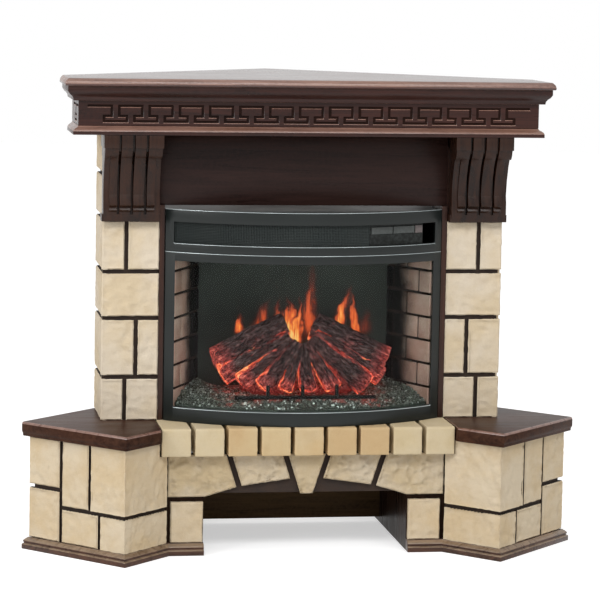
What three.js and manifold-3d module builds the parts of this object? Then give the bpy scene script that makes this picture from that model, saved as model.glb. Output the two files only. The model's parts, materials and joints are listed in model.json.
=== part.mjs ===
// Corner fireplace: a stone-clad wooden corner portal with an electric fire insert behind a
// bowed glass front. Millimetres, +Z up, front towards -Y, the two walls at 45 degrees behind.
import * as THREE from 'three';
import { mergeVertices } from 'three/addons/utils/BufferGeometryUtils.js';
import Module from 'manifold-3d';

const wasm = await Module();
wasm.setup();

// ---------------------------------------------------------------- driving dimensions

const seat = 0.3;                    // air left between two pieces that touch
const boardThickness = 16;
const steelThickness = 2;
const stoneThickness = 14;
const stoneChamfer = 3;
const stoneGroove = 9;               // joint between two stones
const stoneGrooveDepth = 10;

// Both walls follow |x| + y = wallSum. y = 0 is the front edge of the mantel's top surface.
const wallSum = 737;

// Mantel, from the top down
const mantelHalfWidth = 557;
const mantelTopZ = 1090;
const mantelSlabThickness = 17;
const mantelNoseOutset = 8;
const crownHeight = 34;
const friezeInset = 24;
const friezeHeight = 57;
const lowerMouldingHeight = 20;
const lowerMouldingOutset = 12;
const keyPitch = 69;                 // one turn of the meander
const keyGrooveWidth = 5;
const keyGrooveDepth = 3.5;
const keyBarLength = 52;
const keyUpperHeight = 23;
const keyLowerHeight = 12;
const keyTopMargin = 12;

// Piers and their corbels
const pierInnerX = 338;
const pierOuterX = 470;
const pierFrontY = 90;
const pierLiningThickness = 12;      // dark strip beside the insert
const corbelHeight = 201;
const corbelWidth = 135.5;
const corbelRibZoneWidth = 104;
const corbelGrooveSpacing = 31;
const corbelGrooveWidth = 6;
const corbelProjection = 76;
const courseJoints = [0.2174, 0.5133, 0.7465];   // shares of the height from slab to corbel
const courseSplits = [0.583, 0.394, null, 0.576]; // shares of the pier's width
const headerBottomZ = 796;
const headerSetback = 12;            // header face behind the pier's stone face

// Side wings with their slabs and plinths
const slabTopZ = 297;
const slabThickness = 33;
const wingCornerX = 431;
const wingCornerY = -113;
const wingBendX = 323;
const wingOuterRun = 203;            // along X, from the front corner to the wall
const slabOverhang = 15;
const plinthHeight = 27;
const plinthOutset = 11;

// Hearth and wood niche
const brickCount = 9;
const brickHeight = 65;
const brickRowHalfWidth = 340;
const brickGap = 9.5;
const brickOverhang = 26;
const brickLength = 138;
const nicheHalfWidth = 238;
const nicheBackY = 324;
const nicheBackClearance = 13;
const lintelBottomZ = 141;

// Electric insert
const insertHalfWidth = 324;
const insertTopZ = 789;
const insertCornerY = 89.6;
const bowDepth = 112.6;              // how far the bowed front stands proud of its corners
const frameThickness = 14;
const glassFrameTopZ = 690.8;
const grilleHalfWidth = 306;
const grilleBottomZ = 711;
const grilleTopZ = 760;
const windowHalfWidth = 303;
const windowBottomZ = 330;
const windowTopZ = 670;
const glassThickness = 4;
const glassMargin = 7;
const caseHalfWidth = 320;
const caseBackY = 292;
const caseTopZ = 785;
const ceilingZ = 692;
const screenY = 238;
const screenHalfWidth = 240;
const bedTopZ = 352;
const bedCornerRise = 20;            // crushed glass heaped in the two back corners
const bedLevelHalfWidth = 200;
const trayZ = 322;
const controlAngle = 24.3;           // degrees round the bow, seen from its centre
const controlPanelWidth = 150;
const keyTravel = 1.2;
const keyHeight = 17;
const keyWidth = 59.5;
const keyClearance = 0.5;
const rockerWidth = 19;
const rockerTilt = 5;                // degrees each way
const blowerZ = 742;
const blowerY = 165;
const blowerRadius = 24;
const blowerStartX = -178;
const blowerEndX = 72;
const shaftRadius = 3;
const shaftClearance = 0.1;
const flickerZ = 395;
const flickerY = 266;
const flickerHalfLength = 190;

// ---------------------------------------------------------------- derived heights and places

const slabBottomZ = slabTopZ - slabThickness;
const crownTopZ = mantelTopZ - mantelSlabThickness;
const crownBottomZ = crownTopZ - crownHeight;
const friezeBottomZ = crownBottomZ - friezeHeight;
const soffitZ = friezeBottomZ - lowerMouldingHeight;
const brickBottomZ = slabTopZ - brickHeight;
const wingBendY = wingCornerY + wingCornerX - wingBendX;
const insertBottomZ = slabTopZ + seat;
const pierBackZone = pierFrontY + stoneThickness;
const bowRadius = (insertHalfWidth ** 2 + bowDepth ** 2) / (2 * bowDepth);
const bowCentreY = insertCornerY - bowDepth + bowRadius;
const wallY = (x) => wallSum - Math.abs(x);
const bowY = (x, radius) => bowCentreY - Math.sqrt(radius ** 2 - x ** 2);

// ---------------------------------------------------------------- finishes

const finish = (color, roughness, metalness = 0) =>
  new THREE.MeshStandardMaterial({ color, roughness, metalness });
const darkWood = finish(0x3e2621, 0.35);
const plinthWood = finish(0x35201b, 0.35);
const rawBoard = finish(0x8a6c4f, 0.8);
const stone = finish(0xd9cbb0, 0.9);
const sandstone = finish(0xd9b98a, 0.9);
const insertSteel = finish(0x3b4140, 0.45, 0.3);
const blackSteel = finish(0x1d1f20, 0.6, 0.4);
const caseSteel = finish(0x8d9192, 0.4, 0.8);
const glass = new THREE.MeshStandardMaterial({
  color: 0xcfd8d6, roughness: 0.05, metalness: 0, transparent: true, opacity: 0.3,
});
const screenPlastic = finish(0x2a2f2e, 0.5);
const redBrick = finish(0x8d5f50, 0.85);
const embers = finish(0x4a5654, 0.3);
const charredLog = finish(0x4b2f28, 0.8);
const brightMetal = finish(0xc4c7c9, 0.3, 0.9);
const motorBlack = finish(0x232323, 0.6);
const circuitGreen = finish(0x1f4d33, 0.6);
const keyGrey = finish(0x6a6e6a, 0.5);
const switchBlack = finish(0x17181a, 0.4);

// ---------------------------------------------------------------- geometry helpers

const point = (x, y) => new THREE.Vector2(x, y);

/** Plain box between two corners. */
function box(x0, x1, y0, y1, z0, z1) {
  const geometry = new THREE.BoxGeometry(x1 - x0, y1 - y0, z1 - z0);
  return geometry.translate((x0 + x1) / 2, (y0 + y1) / 2, (z0 + z1) / 2);
}

/** Plan outline, given as [x, y] pairs, raised from z0 to z1. */
function prism(outline, z0, z1) {
  const shape = new THREE.Shape(outline.map(([x, y]) => point(x, y)));
  const geometry = new THREE.ExtrudeGeometry(shape, { depth: z1 - z0, bevelEnabled: false });
  return geometry.translate(0, 0, z0);
}

/** Side outline, given as [y, z] pairs, drawn out along X. */
function sideProfile(outline, x0, x1) {
  const geometry = prism(outline, x0, x1);
  const axes = new THREE.Matrix4().makeBasis(
    new THREE.Vector3(0, 1, 0), new THREE.Vector3(0, 0, 1), new THREE.Vector3(1, 0, 0));
  return geometry.applyMatrix4(axes);
}

/** Cylinder along a named axis. */
function rod(axis, centre, radius, length, sides = 24) {
  const geometry = new THREE.CylinderGeometry(radius, radius, length, sides);
  if (axis === 'x') geometry.rotateZ(-Math.PI / 2);
  if (axis === 'z') geometry.rotateX(Math.PI / 2);
  return geometry.translate(...centre);
}

/** Keeps only the positions, so that geometries of every kind can be joined in one mesh. */
function bare(geometry) {
  const copy = geometry.index ? geometry.toNonIndexed() : geometry.clone();
  for (const name of Object.keys(copy.attributes)) {
    if (name !== 'position') copy.deleteAttribute(name);
  }
  return copy;
}

/** Mirror image on the other side of X = 0, with its faces still looking outwards. */
function mirrored(geometry) {
  const copy = bare(geometry);
  copy.scale(-1, 1, 1);
  const position = copy.attributes.position;
  const a = new THREE.Vector3();
  const b = new THREE.Vector3();
  for (let i = 0; i < position.count; i += 3) {
    a.fromBufferAttribute(position, i + 1);
    b.fromBufferAttribute(position, i + 2);
    position.setXYZ(i + 1, b.x, b.y, b.z);
    position.setXYZ(i + 2, a.x, a.y, a.z);
  }
  return copy;
}

function toManifold(geometry) {
  const merged = mergeVertices(bare(geometry), 1e-4);
  return new wasm.Manifold(new wasm.Mesh({
    numProp: 3,
    vertProperties: new Float32Array(merged.attributes.position.array),
    triVerts: new Uint32Array(merged.index.array),
  }));
}

function fromManifold(manifold) {
  const mesh = manifold.getMesh();
  const geometry = new THREE.BufferGeometry();
  geometry.setAttribute('position', new THREE.BufferAttribute(new Float32Array(mesh.vertProperties), 3));
  geometry.setIndex(new THREE.BufferAttribute(new Uint32Array(mesh.triVerts), 1));
  return geometry;
}

/** Joins the first list of solids and cuts the second list out of the result. */
function carve(solids, cuts = []) {
  let body = toManifold(solids[0]);
  for (const solid of solids.slice(1)) body = body.add(toManifold(solid));
  for (const cut of cuts) body = body.subtract(toManifold(cut));
  return fromManifold(body);
}

/** Closed skin through rings that all have the same number of points, with flat ends. */
function skin(rings) {
  const count = rings[0].length;
  const positions = rings.flat().flatMap((p) => [p.x, p.y, p.z]);
  const index = [];
  for (let r = 0; r + 1 < rings.length; r += 1) {
    for (let i = 0; i < count; i += 1) {
      const a = r * count + i;
      const b = r * count + ((i + 1) % count);
      index.push(a, b, b + count, a, b + count, a + count);
    }
  }
  const capPlane = rings[0].capPlane;
  const faces = THREE.ShapeUtils.triangulateShape(capPlane, []);
  const last = (rings.length - 1) * count;
  for (const [a, b, c] of faces) {
    index.push(a, c, b);
    index.push(last + a, last + b, last + c);
  }
  const geometry = new THREE.BufferGeometry();
  geometry.setAttribute('position', new THREE.Float32BufferAttribute(positions, 3));
  geometry.setIndex(index);
  return geometry;
}

/** Stack of level outlines: each level is { z, outline }, and outlines run anticlockwise. */
function stack(levels) {
  const rings = levels.map(({ z, outline }) => outline.map(([x, y]) => new THREE.Vector3(x, y, z)));
  rings[0].capPlane = levels[0].outline.map(([x, y]) => point(x, y));
  return skin(rings);
}

/**
 * Moulding with mitred corners. The profile is a closed anticlockwise list of [outset, z], and
 * each path corner is { x, y, dx, dy }, where (dx, dy) is the way that one millimetre of outset moves it.
 */
function moulding(profile, path) {
  const rings = [...path].reverse().map((corner) => profile.map(([outset, z]) =>
    new THREE.Vector3(corner.x + corner.dx * outset, corner.y + corner.dy * outset, z)));
  rings[0].capPlane = profile.map(([outset, z]) => point(outset, z));
  return skin(rings);
}

/** Outline drawn in by a distance on every side; works for outlines without narrow necks. */
function inset(outline, distance) {
  const count = outline.length;
  return outline.map((here, i) => {
    const before = outline[(i + count - 1) % count];
    const after = outline[(i + 1) % count];
    const inward = (from, to) => {
      const length = Math.hypot(to[0] - from[0], to[1] - from[1]);
      return [-(to[1] - from[1]) / length, (to[0] - from[0]) / length];
    };
    const n1 = inward(before, here);
    const n2 = inward(here, after);
    const k = distance / (1 + n1[0] * n2[0] + n1[1] * n2[1]);
    return [here[0] + k * (n1[0] + n2[0]), here[1] + k * (n1[1] + n2[1])];
  });
}

/** Face of a body: an origin, the direction that runs along it, and the way it looks. */
function face(origin, along) {
  const u = new THREE.Vector3(along[0], along[1], 0).normalize();
  const v = new THREE.Vector3(0, 0, 1);
  const n = new THREE.Vector3().crossVectors(u, v);
  return new THREE.Matrix4().makeBasis(u, v, n).setPosition(origin[0], origin[1], 0);
}

/** One stone with chamfered front edges; its outline is in the face's own plane. */
function stoneOn(place, outline) {
  const geometry = stack([
    { z: -stoneThickness, outline },
    { z: -stoneChamfer, outline },
    { z: 0, outline: inset(outline, stoneChamfer) },
  ]);
  return geometry.applyMatrix4(place);
}

const rectangle = (u0, u1, v0, v1) => [[u0, v0], [u1, v0], [u1, v1], [u0, v1]];

/** Points on the bow from x0 to x1 at a radius, as [x, y]. */
function bowPoints(radius, x0, x1, steps = 20) {
  const from = Math.asin(x0 / radius);
  const to = Math.asin(x1 / radius);
  return Array.from({ length: steps + 1 }, (_, i) => {
    const angle = from + ((to - from) * i) / steps;
    return [radius * Math.sin(angle), bowCentreY - radius * Math.cos(angle)];
  });
}

/** Bent sheet that follows the bow, with upright ends. */
function bowBand(outerRadius, thickness, x0, x1, z0, z1, steps = 20) {
  const outer = bowPoints(outerRadius, x0, x1, steps);
  const inner = bowPoints(outerRadius - thickness, x0, x1, steps).reverse();
  return prism([...outer, ...inner], z0, z1);
}

// ---------------------------------------------------------------- assembly

const fireplace = new THREE.Group();

function add(name, geometry, material) {
  const mesh = new THREE.Mesh(geometry, material);
  mesh.name = name;
  fireplace.add(mesh);
}

/** Adds the right-hand piece as built and its mirror image on the left. */
function addPair(name, geometry, material) {
  add(`${name}_right`, geometry, material);
  add(`${name}_left`, mirrored(geometry), material);
}

// ---------------------------------------------------------------- mantel

/** Path round the mantel's front: left wall, two front corners, right wall. */
function mantelPath() {
  const side = wallY(mantelHalfWidth);
  return [
    { x: -mantelHalfWidth, y: side, dx: -1, dy: -1 },
    { x: -mantelHalfWidth, y: 0, dx: -1, dy: -1 },
    { x: mantelHalfWidth, y: 0, dx: 1, dy: -1 },
    { x: mantelHalfWidth, y: side, dx: 1, dy: -1 },
  ];
}

/** Plan of the whole mantel at one outset, out to the corner of the room. */
function mantelOutline(outset) {
  const x = mantelHalfWidth + outset;
  return [[-x, -outset], [x, -outset], [x, wallY(x)], [0, wallSum], [-x, wallY(x)]];
}

function buildMantel() {
  const noseDrop = 12;
  add('mantel_top', stack([
    { z: crownTopZ, outline: mantelOutline(mantelNoseOutset - 2) },
    { z: crownTopZ + 1.5, outline: mantelOutline(mantelNoseOutset) },
    { z: mantelTopZ - noseDrop, outline: mantelOutline(mantelNoseOutset) },
    { z: mantelTopZ - noseDrop / 2, outline: mantelOutline(mantelNoseOutset * 0.8) },
    { z: mantelTopZ - 1.5, outline: mantelOutline(mantelNoseOutset * 0.25) },
    { z: mantelTopZ, outline: mantelOutline(0) },
  ]), darkWood);

  const crownBack = -friezeInset - boardThickness;
  const crownNose = 1.5;
  const crownFoot = -12;
  const crownFillet = 12;
  const crownTop = crownTopZ - seat;
  const ogee = [
    [crownFoot, crownBottomZ + 2],
    [crownFoot + 1, crownBottomZ + 7],
    [crownFoot + 5, crownBottomZ + 12],
    [crownFoot + 9, crownBottomZ + 15],
    [crownNose - 2, crownTopZ - crownFillet - 3],
    [crownNose, crownTopZ - crownFillet],
  ];
  add('crown_moulding', moulding([
    [crownBack, crownBottomZ + seat],
    [crownFoot, crownBottomZ + seat],
    ...ogee,
    [crownNose, crownTop],
    [crownBack, crownTop],
  ], mantelPath()), darkWood);

  add('key_frieze', carve([moulding([
    [-friezeInset - boardThickness, friezeBottomZ + seat],
    [-friezeInset, friezeBottomZ + seat],
    [-friezeInset, crownBottomZ],
    [-friezeInset - boardThickness, crownBottomZ],
  ], mantelPath())], meanderCuts()), darkWood);

  const lip = -lowerMouldingOutset;
  add('lower_moulding', moulding([
    [-friezeInset - boardThickness, soffitZ],
    [lip, soffitZ],
    [lip, soffitZ + 8],
    [lip - 2, soffitZ + 12],
    [lip - 6, soffitZ + 15],
    [lip - 10, soffitZ + 17],
    [-friezeInset, friezeBottomZ],
    [-friezeInset - boardThickness, friezeBottomZ],
  ], mantelPath()), darkWood);

  const soffitHalf = mantelHalfWidth - friezeInset - boardThickness - seat;
  const soffitFront = friezeInset + boardThickness + seat;
  add('mantel_soffit', prism([
    [-soffitHalf, soffitFront], [soffitHalf, soffitFront],
    [soffitHalf, wallY(soffitHalf)], [0, wallSum], [-soffitHalf, wallY(soffitHalf)],
  ], soffitZ, soffitZ + boardThickness), rawBoard);

  add('header_board', box(
    -pierInnerX + seat, pierInnerX - seat,
    pierFrontY + headerSetback, pierFrontY + headerSetback + boardThickness,
    headerBottomZ, soffitZ - seat), darkWood);
}

/** Strokes of the meander as boxes, on the front and on both returns. */
function meanderCuts() {
  const top = crownBottomZ - keyTopMargin;
  const middle = top - keyUpperHeight;
  const bottom = middle - keyLowerHeight;
  const foot = (keyBarLength * 2 - keyPitch) / 2;
  const half = keyGrooveWidth / 2;
  const cuts = [];
  const strokes = (start) => [
    [start, start + keyBarLength, top, top],
    [start + keyBarLength, start + keyBarLength, middle, top],
    [start + keyBarLength - foot, start + keyBarLength, middle, middle],
    [start + keyBarLength - foot, start + keyBarLength - foot, bottom, middle],
    [start + keyBarLength - foot, start + keyPitch + foot, bottom, bottom],
    [start + keyPitch + foot, start + keyPitch + foot, bottom, middle],
    [start + keyPitch, start + keyPitch + foot, middle, middle],
    [start + keyPitch, start + keyPitch, middle, top],
  ];
  const turns = (length) => Math.floor((length - keyBarLength) / keyPitch);
  const faceY = friezeInset;
  const faceX = mantelHalfWidth - friezeInset;

  const frontTurns = turns(2 * faceX);
  const frontStart = -(frontTurns * keyPitch + keyBarLength) / 2;
  for (let turn = 0; turn <= frontTurns; turn += 1) {
    const list = strokes(frontStart + turn * keyPitch);
    for (const [u0, u1, z0, z1] of turn < frontTurns ? list : list.slice(0, 1)) {
      cuts.push(box(u0 - half, u1 + half, faceY - 1, faceY + keyGrooveDepth, z0 - half, z1 + half));
    }
  }

  const sideEnd = wallY(faceX);
  const sideTurns = turns(sideEnd - faceY);
  const sideStart = faceY + (keyPitch - keyBarLength) / 2;
  for (let turn = 0; turn <= sideTurns; turn += 1) {
    const list = strokes(sideStart + turn * keyPitch);
    for (const [u0, u1, z0, z1] of turn < sideTurns ? list : list.slice(0, 1)) {
      const right = box(faceX - keyGrooveDepth, faceX + 1, u0 - half, u1 + half, z0 - half, z1 + half);
      cuts.push(right, mirrored(right));
    }
  }
  return cuts;
}

// ---------------------------------------------------------------- piers

function buildCorbel() {
  const back = pierBackZone - seat;
  const top = soffitZ - seat;
  const bottom = top - corbelHeight;
  const centreX = pierInnerX + seat + corbelWidth / 2;
  const halfWidth = corbelWidth / 2;
  const ribHalf = corbelRibZoneWidth / 2;
  const nose = pierFrontY - corbelProjection;
  const blockHeight = 30;
  const earHeight = 22;
  const padHeight = 17;

  const cheekBack = 10;
  const cheeks = sideProfile([
    [back, bottom + 1],
    [back, top - blockHeight],
    [nose + 8, top - blockHeight],
    [nose + 12 + cheekBack, top - blockHeight - 14],
    [nose + 26 + cheekBack, top - blockHeight - 38],
    [nose + 38 + cheekBack, top - blockHeight - 72],
    [nose + 44 + cheekBack, top - blockHeight - 108],
    [nose + 40 + cheekBack, bottom + padHeight + 28],
    [nose + 50, bottom + padHeight],
    [nose + 56, bottom + 1],
  ], centreX - halfWidth + 3, centreX + halfWidth - 3);
  const block = box(centreX - halfWidth, centreX + halfWidth, nose, back, top - blockHeight, top);
  const ear = sideProfile([
    [back, top - blockHeight],
    [nose + 5, top - blockHeight],
    [nose + 8, top - blockHeight - earHeight * 0.5],
    [nose + 16, top - blockHeight - earHeight],
    [back, top - blockHeight - earHeight],
  ].reverse(), centreX - halfWidth + 2, centreX + halfWidth - 2);
  const ribs = sideProfile([
    [back, bottom + padHeight],
    [back, top - blockHeight],
    [nose + 4, top - blockHeight],
    [nose + 12, top - blockHeight - 14],
    [nose + 26, top - blockHeight - 38],
    [nose + 40, top - blockHeight - 72],
    [nose + 46, top - blockHeight - 108],
    [nose + 40, bottom + padHeight + 28],
    [nose + 38, bottom + padHeight + 22],
    [nose + 48, bottom + padHeight + 16],
    [nose + 44, bottom + padHeight + 10],
    [nose + 54, bottom + padHeight + 2],
    [nose + 54, bottom + padHeight],
  ], centreX - ribHalf, centreX + ribHalf);
  const pad = box(centreX - halfWidth, centreX + halfWidth, pierFrontY - 20, back, bottom, bottom + padHeight);
  const grooves = [-1, 0, 1].map((step) => {
    const x = centreX + step * corbelGrooveSpacing;
    return sideProfile([
      [nose - 5, bottom + padHeight],
      [pierFrontY - 16, bottom + padHeight],
      [pierFrontY - 16, top - blockHeight - 40],
      [nose + 20, top - blockHeight - 8],
      [nose + 12, top + 5],
      [nose - 5, top + 5],
    ], x - corbelGrooveWidth / 2, x + corbelGrooveWidth / 2);
  });
  return carve([cheeks, block, ear, ribs, pad], grooves);
}

function buildPiers() {
  const bottom = slabTopZ + seat;
  const top = soffitZ - seat;
  const liningX = pierInnerX - pierLiningThickness;
  const outerX = pierOuterX - stoneThickness - seat;
  const frontBack = pierBackZone + boardThickness;
  const lining = prism([
    [liningX, pierFrontY + 4], [pierInnerX - seat, pierFrontY + 4],
    [pierInnerX - seat, wallY(pierInnerX)], [liningX, wallY(pierInnerX)],
  ], bottom, headerBottomZ - seat);
  const inner = prism([
    [pierInnerX - seat - 1, pierBackZone], [pierInnerX + 8, pierBackZone],
    [pierInnerX + 8, wallY(pierInnerX + 8)], [pierInnerX - seat - 1, wallY(pierInnerX + 8)],
  ], bottom, top);
  const front = box(pierInnerX, outerX, pierBackZone, frontBack, bottom, top);
  const outer = prism([
    [outerX - boardThickness, pierBackZone], [outerX, pierBackZone],
    [outerX, wallY(outerX)], [outerX - boardThickness, wallY(outerX)],
  ], bottom, top);
  const headerNotch = box(pierInnerX - 30, pierInnerX + seat, pierFrontY, pierFrontY + headerSetback
    + boardThickness + 2 * seat, headerBottomZ - seat, top + 1);
  addPair('pier_case', carve([lining, inner, front, outer], [headerNotch]), darkWood);
  addPair('corbel', buildCorbel(), darkWood);
  addPair('pier_stones', buildPierStones(), stone);
}

/** Courses of the pier, with the heights of their joints and the split of each course. */
function buildPierStones() {
  const half = stoneGroove / 2;
  const bottom = slabTopZ + seat;
  const top = soffitZ - seat - corbelHeight - seat;
  const jointHeights = courseJoints.map((share) => bottom + share * (top - bottom));
  const edges = [bottom - half, ...jointHeights, top + half];
  const splits = courseSplits.map((share) => share && pierInnerX + share * (pierOuterX - pierInnerX));
  const front = face([0, pierFrontY], [1, 0]);
  const solids = [];
  const backing = stoneThickness - stoneGrooveDepth;
  const panelBack = pierBackZone - seat;
  solids.push(box(pierInnerX + 1, pierOuterX - 2, panelBack - backing, panelBack, bottom, top));
  edges.slice(0, -1).forEach((edge, course) => {
    const z0 = edge + half;
    const z1 = edges[course + 1] - half;
    const split = splits[course];
    const spans = split
      ? [[pierInnerX, split - half], [split + half, pierOuterX]]
      : [[pierInnerX, pierOuterX]];
    for (const [x0, x1] of spans) solids.push(stoneOn(front, rectangle(x0, x1, z0, z1)));
  });

  const sideTop = soffitZ - seat;
  const sideFront = pierBackZone - stoneThickness + 1;
  const side = face([pierOuterX, sideFront], [0, 1]);
  const depth = wallY(pierOuterX) - sideFront;
  solids.push(prism([
    [pierOuterX - stoneThickness, panelBack], [pierOuterX - stoneGrooveDepth, panelBack - backing],
    [pierOuterX - stoneGrooveDepth, wallY(pierOuterX)], [pierOuterX - stoneThickness, wallY(pierOuterX)],
  ], bottom, top));
  solids.push(prism([
    [pierOuterX - stoneThickness, pierBackZone + seat], [pierOuterX - stoneGrooveDepth, pierBackZone + seat],
    [pierOuterX - stoneGrooveDepth, wallY(pierOuterX)], [pierOuterX - stoneThickness, wallY(pierOuterX)],
  ], bottom, sideTop));
  const sideEdges = [...edges, (top + sideTop) / 2 + half, sideTop + half];
  sideEdges.slice(0, -1).forEach((edge, course) => {
    const split = course % 2 ? depth * 0.4 : depth * 0.62;
    const start = course > 3 ? stoneThickness : 0;
    for (const [u0, u1] of [[start, split - half], [split + half, depth]]) {
      solids.push(stoneOn(side, rectangle(u0, u1, edge + half, sideEdges[course + 1] - half)));
    }
  });
  return carve(solids);
}

// ---------------------------------------------------------------- wings

/** Path of a right-hand wing's visible faces: niche jamb, inner bend, front corner, wall. */
function wingPath() {
  const mitre = Math.tan(Math.PI / 8);
  const diagonal = Math.SQRT2;
  return [
    { x: nicheHalfWidth, y: wingBendY, dx: 0, dy: -1 },
    { x: wingBendX, y: wingBendY, dx: -mitre, dy: -1 },
    { x: wingCornerX, y: wingCornerY, dx: 0, dy: -diagonal },
    { x: wingCornerX + wingOuterRun, y: wingCornerY + wingOuterRun, dx: diagonal, dy: 0 },
  ];
}

function buildWingCase() {
  const z0 = 0;
  const z1 = slabBottomZ - seat;
  const back = -stoneThickness - seat;
  const inner = back - boardThickness;
  const corners = wingPath();
  const at = (corner, outset) => [corner.x + corner.dx * outset, corner.y + corner.dy * outset];
  const jambTop = brickBottomZ - seat;
  const panel = (from, to, top = z1) =>
    prism([at(from, back), at(to, back), at(to, inner), at(from, inner)], z0, top);
  const nicheFront = wingBendY - back;
  const nicheSide = box(nicheHalfWidth, nicheHalfWidth + boardThickness, nicheFront,
    wallY(nicheHalfWidth + boardThickness) - 10, z0, jambTop);
  return carve([panel(corners[0], corners[1], jambTop), panel(corners[1], corners[2]),
    panel(corners[2], corners[3]), nicheSide], [endBrickNotch()]);
}

/** Room for the last hearth brick, which reaches over the top of the wing's inner face. */
const endBrickNotch = () => box(nicheHalfWidth, brickRowHalfWidth + 3, wingCornerY, pierFrontY,
  brickBottomZ - seat, slabTopZ);

/** Stones of a right-hand wing: two wrap the front corner, four lie outboard. */
function buildWingStones() {
  const half = stoneGroove / 2;
  const z0 = plinthHeight + seat;
  const z1 = slabBottomZ - seat;
  const corner = [wingCornerX, wingCornerY];
  const outerLength = wingOuterRun * Math.SQRT2;
  const innerLength = (wingCornerX - wingBendX) * Math.SQRT2;
  const joint = 108;
  const outboardJoint = 148;
  const upperSplit = 105;
  const lowerSplit = 76;
  const mainSplit = 192;
  const outer = face(corner, [1, 1]);

  const wrap = (reach, low, high) => {
    const s = Math.SQRT1_2;
    const depth = stoneThickness - 2;
    const along = (u, v) => [corner[0] + (u - v) * s, corner[1] + (u + v) * s];
    return prism([
      along(0, innerLength - 1), along(0, 0), along(reach, 0),
      along(reach, depth), along(depth, depth), along(depth, innerLength - 1),
    ], low, high);
  };
  const backing = stoneThickness - stoneGrooveDepth;
  const skinPath = wingPath().slice(1);
  const web = moulding([
    [-stoneThickness, z0 + 1], [-stoneThickness + backing, z0 + 1],
    [-stoneThickness + backing, z1 - 1], [-stoneThickness, z1 - 1],
  ], skinPath);
  return carve([
    web,
    wrap(upperSplit - half, joint + half, z1),
    wrap(lowerSplit - half, z0, joint - half),
    stoneOn(outer, rectangle(upperSplit + half, mainSplit - half, joint + half, z1)),
    stoneOn(outer, rectangle(lowerSplit + half, mainSplit - half, z0, joint - half)),
    stoneOn(outer, rectangle(mainSplit + half, outerLength, outboardJoint + half, z1)),
    stoneOn(outer, rectangle(mainSplit + half, outerLength, z0, outboardJoint - half)),
  ], [endBrickNotch()]);
}

/** Wing slab at one outset: front corner, wall end, corner behind the pier, brick side. */
function slabOutline(outset) {
  const innerX = brickRowHalfWidth + 3;
  const cornerX = wingCornerX;
  const cornerY = wingCornerY - outset * Math.SQRT2;
  const run = (wallSum - cornerX - cornerY) / 2;
  return [
    [innerX, cornerY + cornerX - innerX],
    [cornerX, cornerY],
    [cornerX + run, cornerY + run],
    [innerX, wallY(innerX)],
  ];
}

function buildWings() {
  const bead = slabOverhang;
  addPair('wing_slab', stack([
    { z: slabBottomZ, outline: slabOutline(bead - 4) },
    { z: slabBottomZ + 6, outline: slabOutline(bead - 3.5) },
    { z: slabBottomZ + 11, outline: slabOutline(bead - 0.5) },
    { z: slabBottomZ + 14, outline: slabOutline(bead) },
    { z: slabTopZ - 5, outline: slabOutline(bead) },
    { z: slabTopZ - 1.5, outline: slabOutline(bead - 1.5) },
    { z: slabTopZ, outline: slabOutline(bead - 4) },
  ]), darkWood);
  addPair('wing_case', buildWingCase(), darkWood);
  addPair('wing_stones', buildWingStones(), stone);

  const plinthBack = -stoneThickness;
  const z0 = 0;
  const plinthPath = wingPath();
  const plinthProfile = [[0, 0.4], [1.5, 0.46], [3.5, 0.48], [3.5, 0.56], [2.2, 0.62], [2.2, 0.7],
    [4, 0.8], [7, 0.9], [9.5, 0.96], [9.5, 1]];
  addPair('plinth', moulding([
    [plinthBack, z0],
    [plinthOutset, z0],
    ...plinthProfile.map(([back, share]) => [plinthOutset - back, z0 + share * plinthHeight]),
    [plinthBack, z0 + plinthHeight],
  ], plinthPath), plinthWood);
}

function buildNiche() {
  const archJoint = 13;
  const front = face([0, wingBendY], [1, 0]);
  const jambTop = lintelBottomZ - 19;
  const jamb = stoneOn(front, rectangle(
    nicheHalfWidth + 2, wingBendX - 8, plinthHeight + seat, jambTop));
  addPair('jamb_stone', jamb, stone);

  // Arch: five stones on one dark board, which shows in the joints and under the stones' lower edge
  const lintelY = wingBendY + stoneThickness;
  const lintelThickness = 12;
  const board = box(-nicheHalfWidth, nicheHalfWidth, lintelY - 2, lintelY + lintelThickness,
    lintelBottomZ, brickBottomZ - seat);
  const ends = [1, -1].map((side) => box(
    Math.min(side * nicheHalfWidth, side * (wingBendX - 2)) - 1, Math.max(side * nicheHalfWidth, side * (wingBendX - 2)),
    lintelY - 2, lintelY - seat, lintelBottomZ, brickBottomZ - seat));
  add('arch_stones', carve([board, ...ends, ...keystoneOutlines(archJoint / 2).map((outline) => stoneOn(front, outline))]),
    stone);

  const hearthFront = lintelY + lintelThickness + seat;
  add('hearth_board', box(-nicheHalfWidth + seat, nicheHalfWidth - seat, hearthFront, nicheBackY - seat,
    brickBottomZ - seat - boardThickness, brickBottomZ - seat), darkWood);
  add('niche_back', box(-nicheHalfWidth + seat, nicheHalfWidth - seat, nicheBackY, nicheBackY + boardThickness,
    nicheBackClearance, brickBottomZ - seat), darkWood);
}

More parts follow.
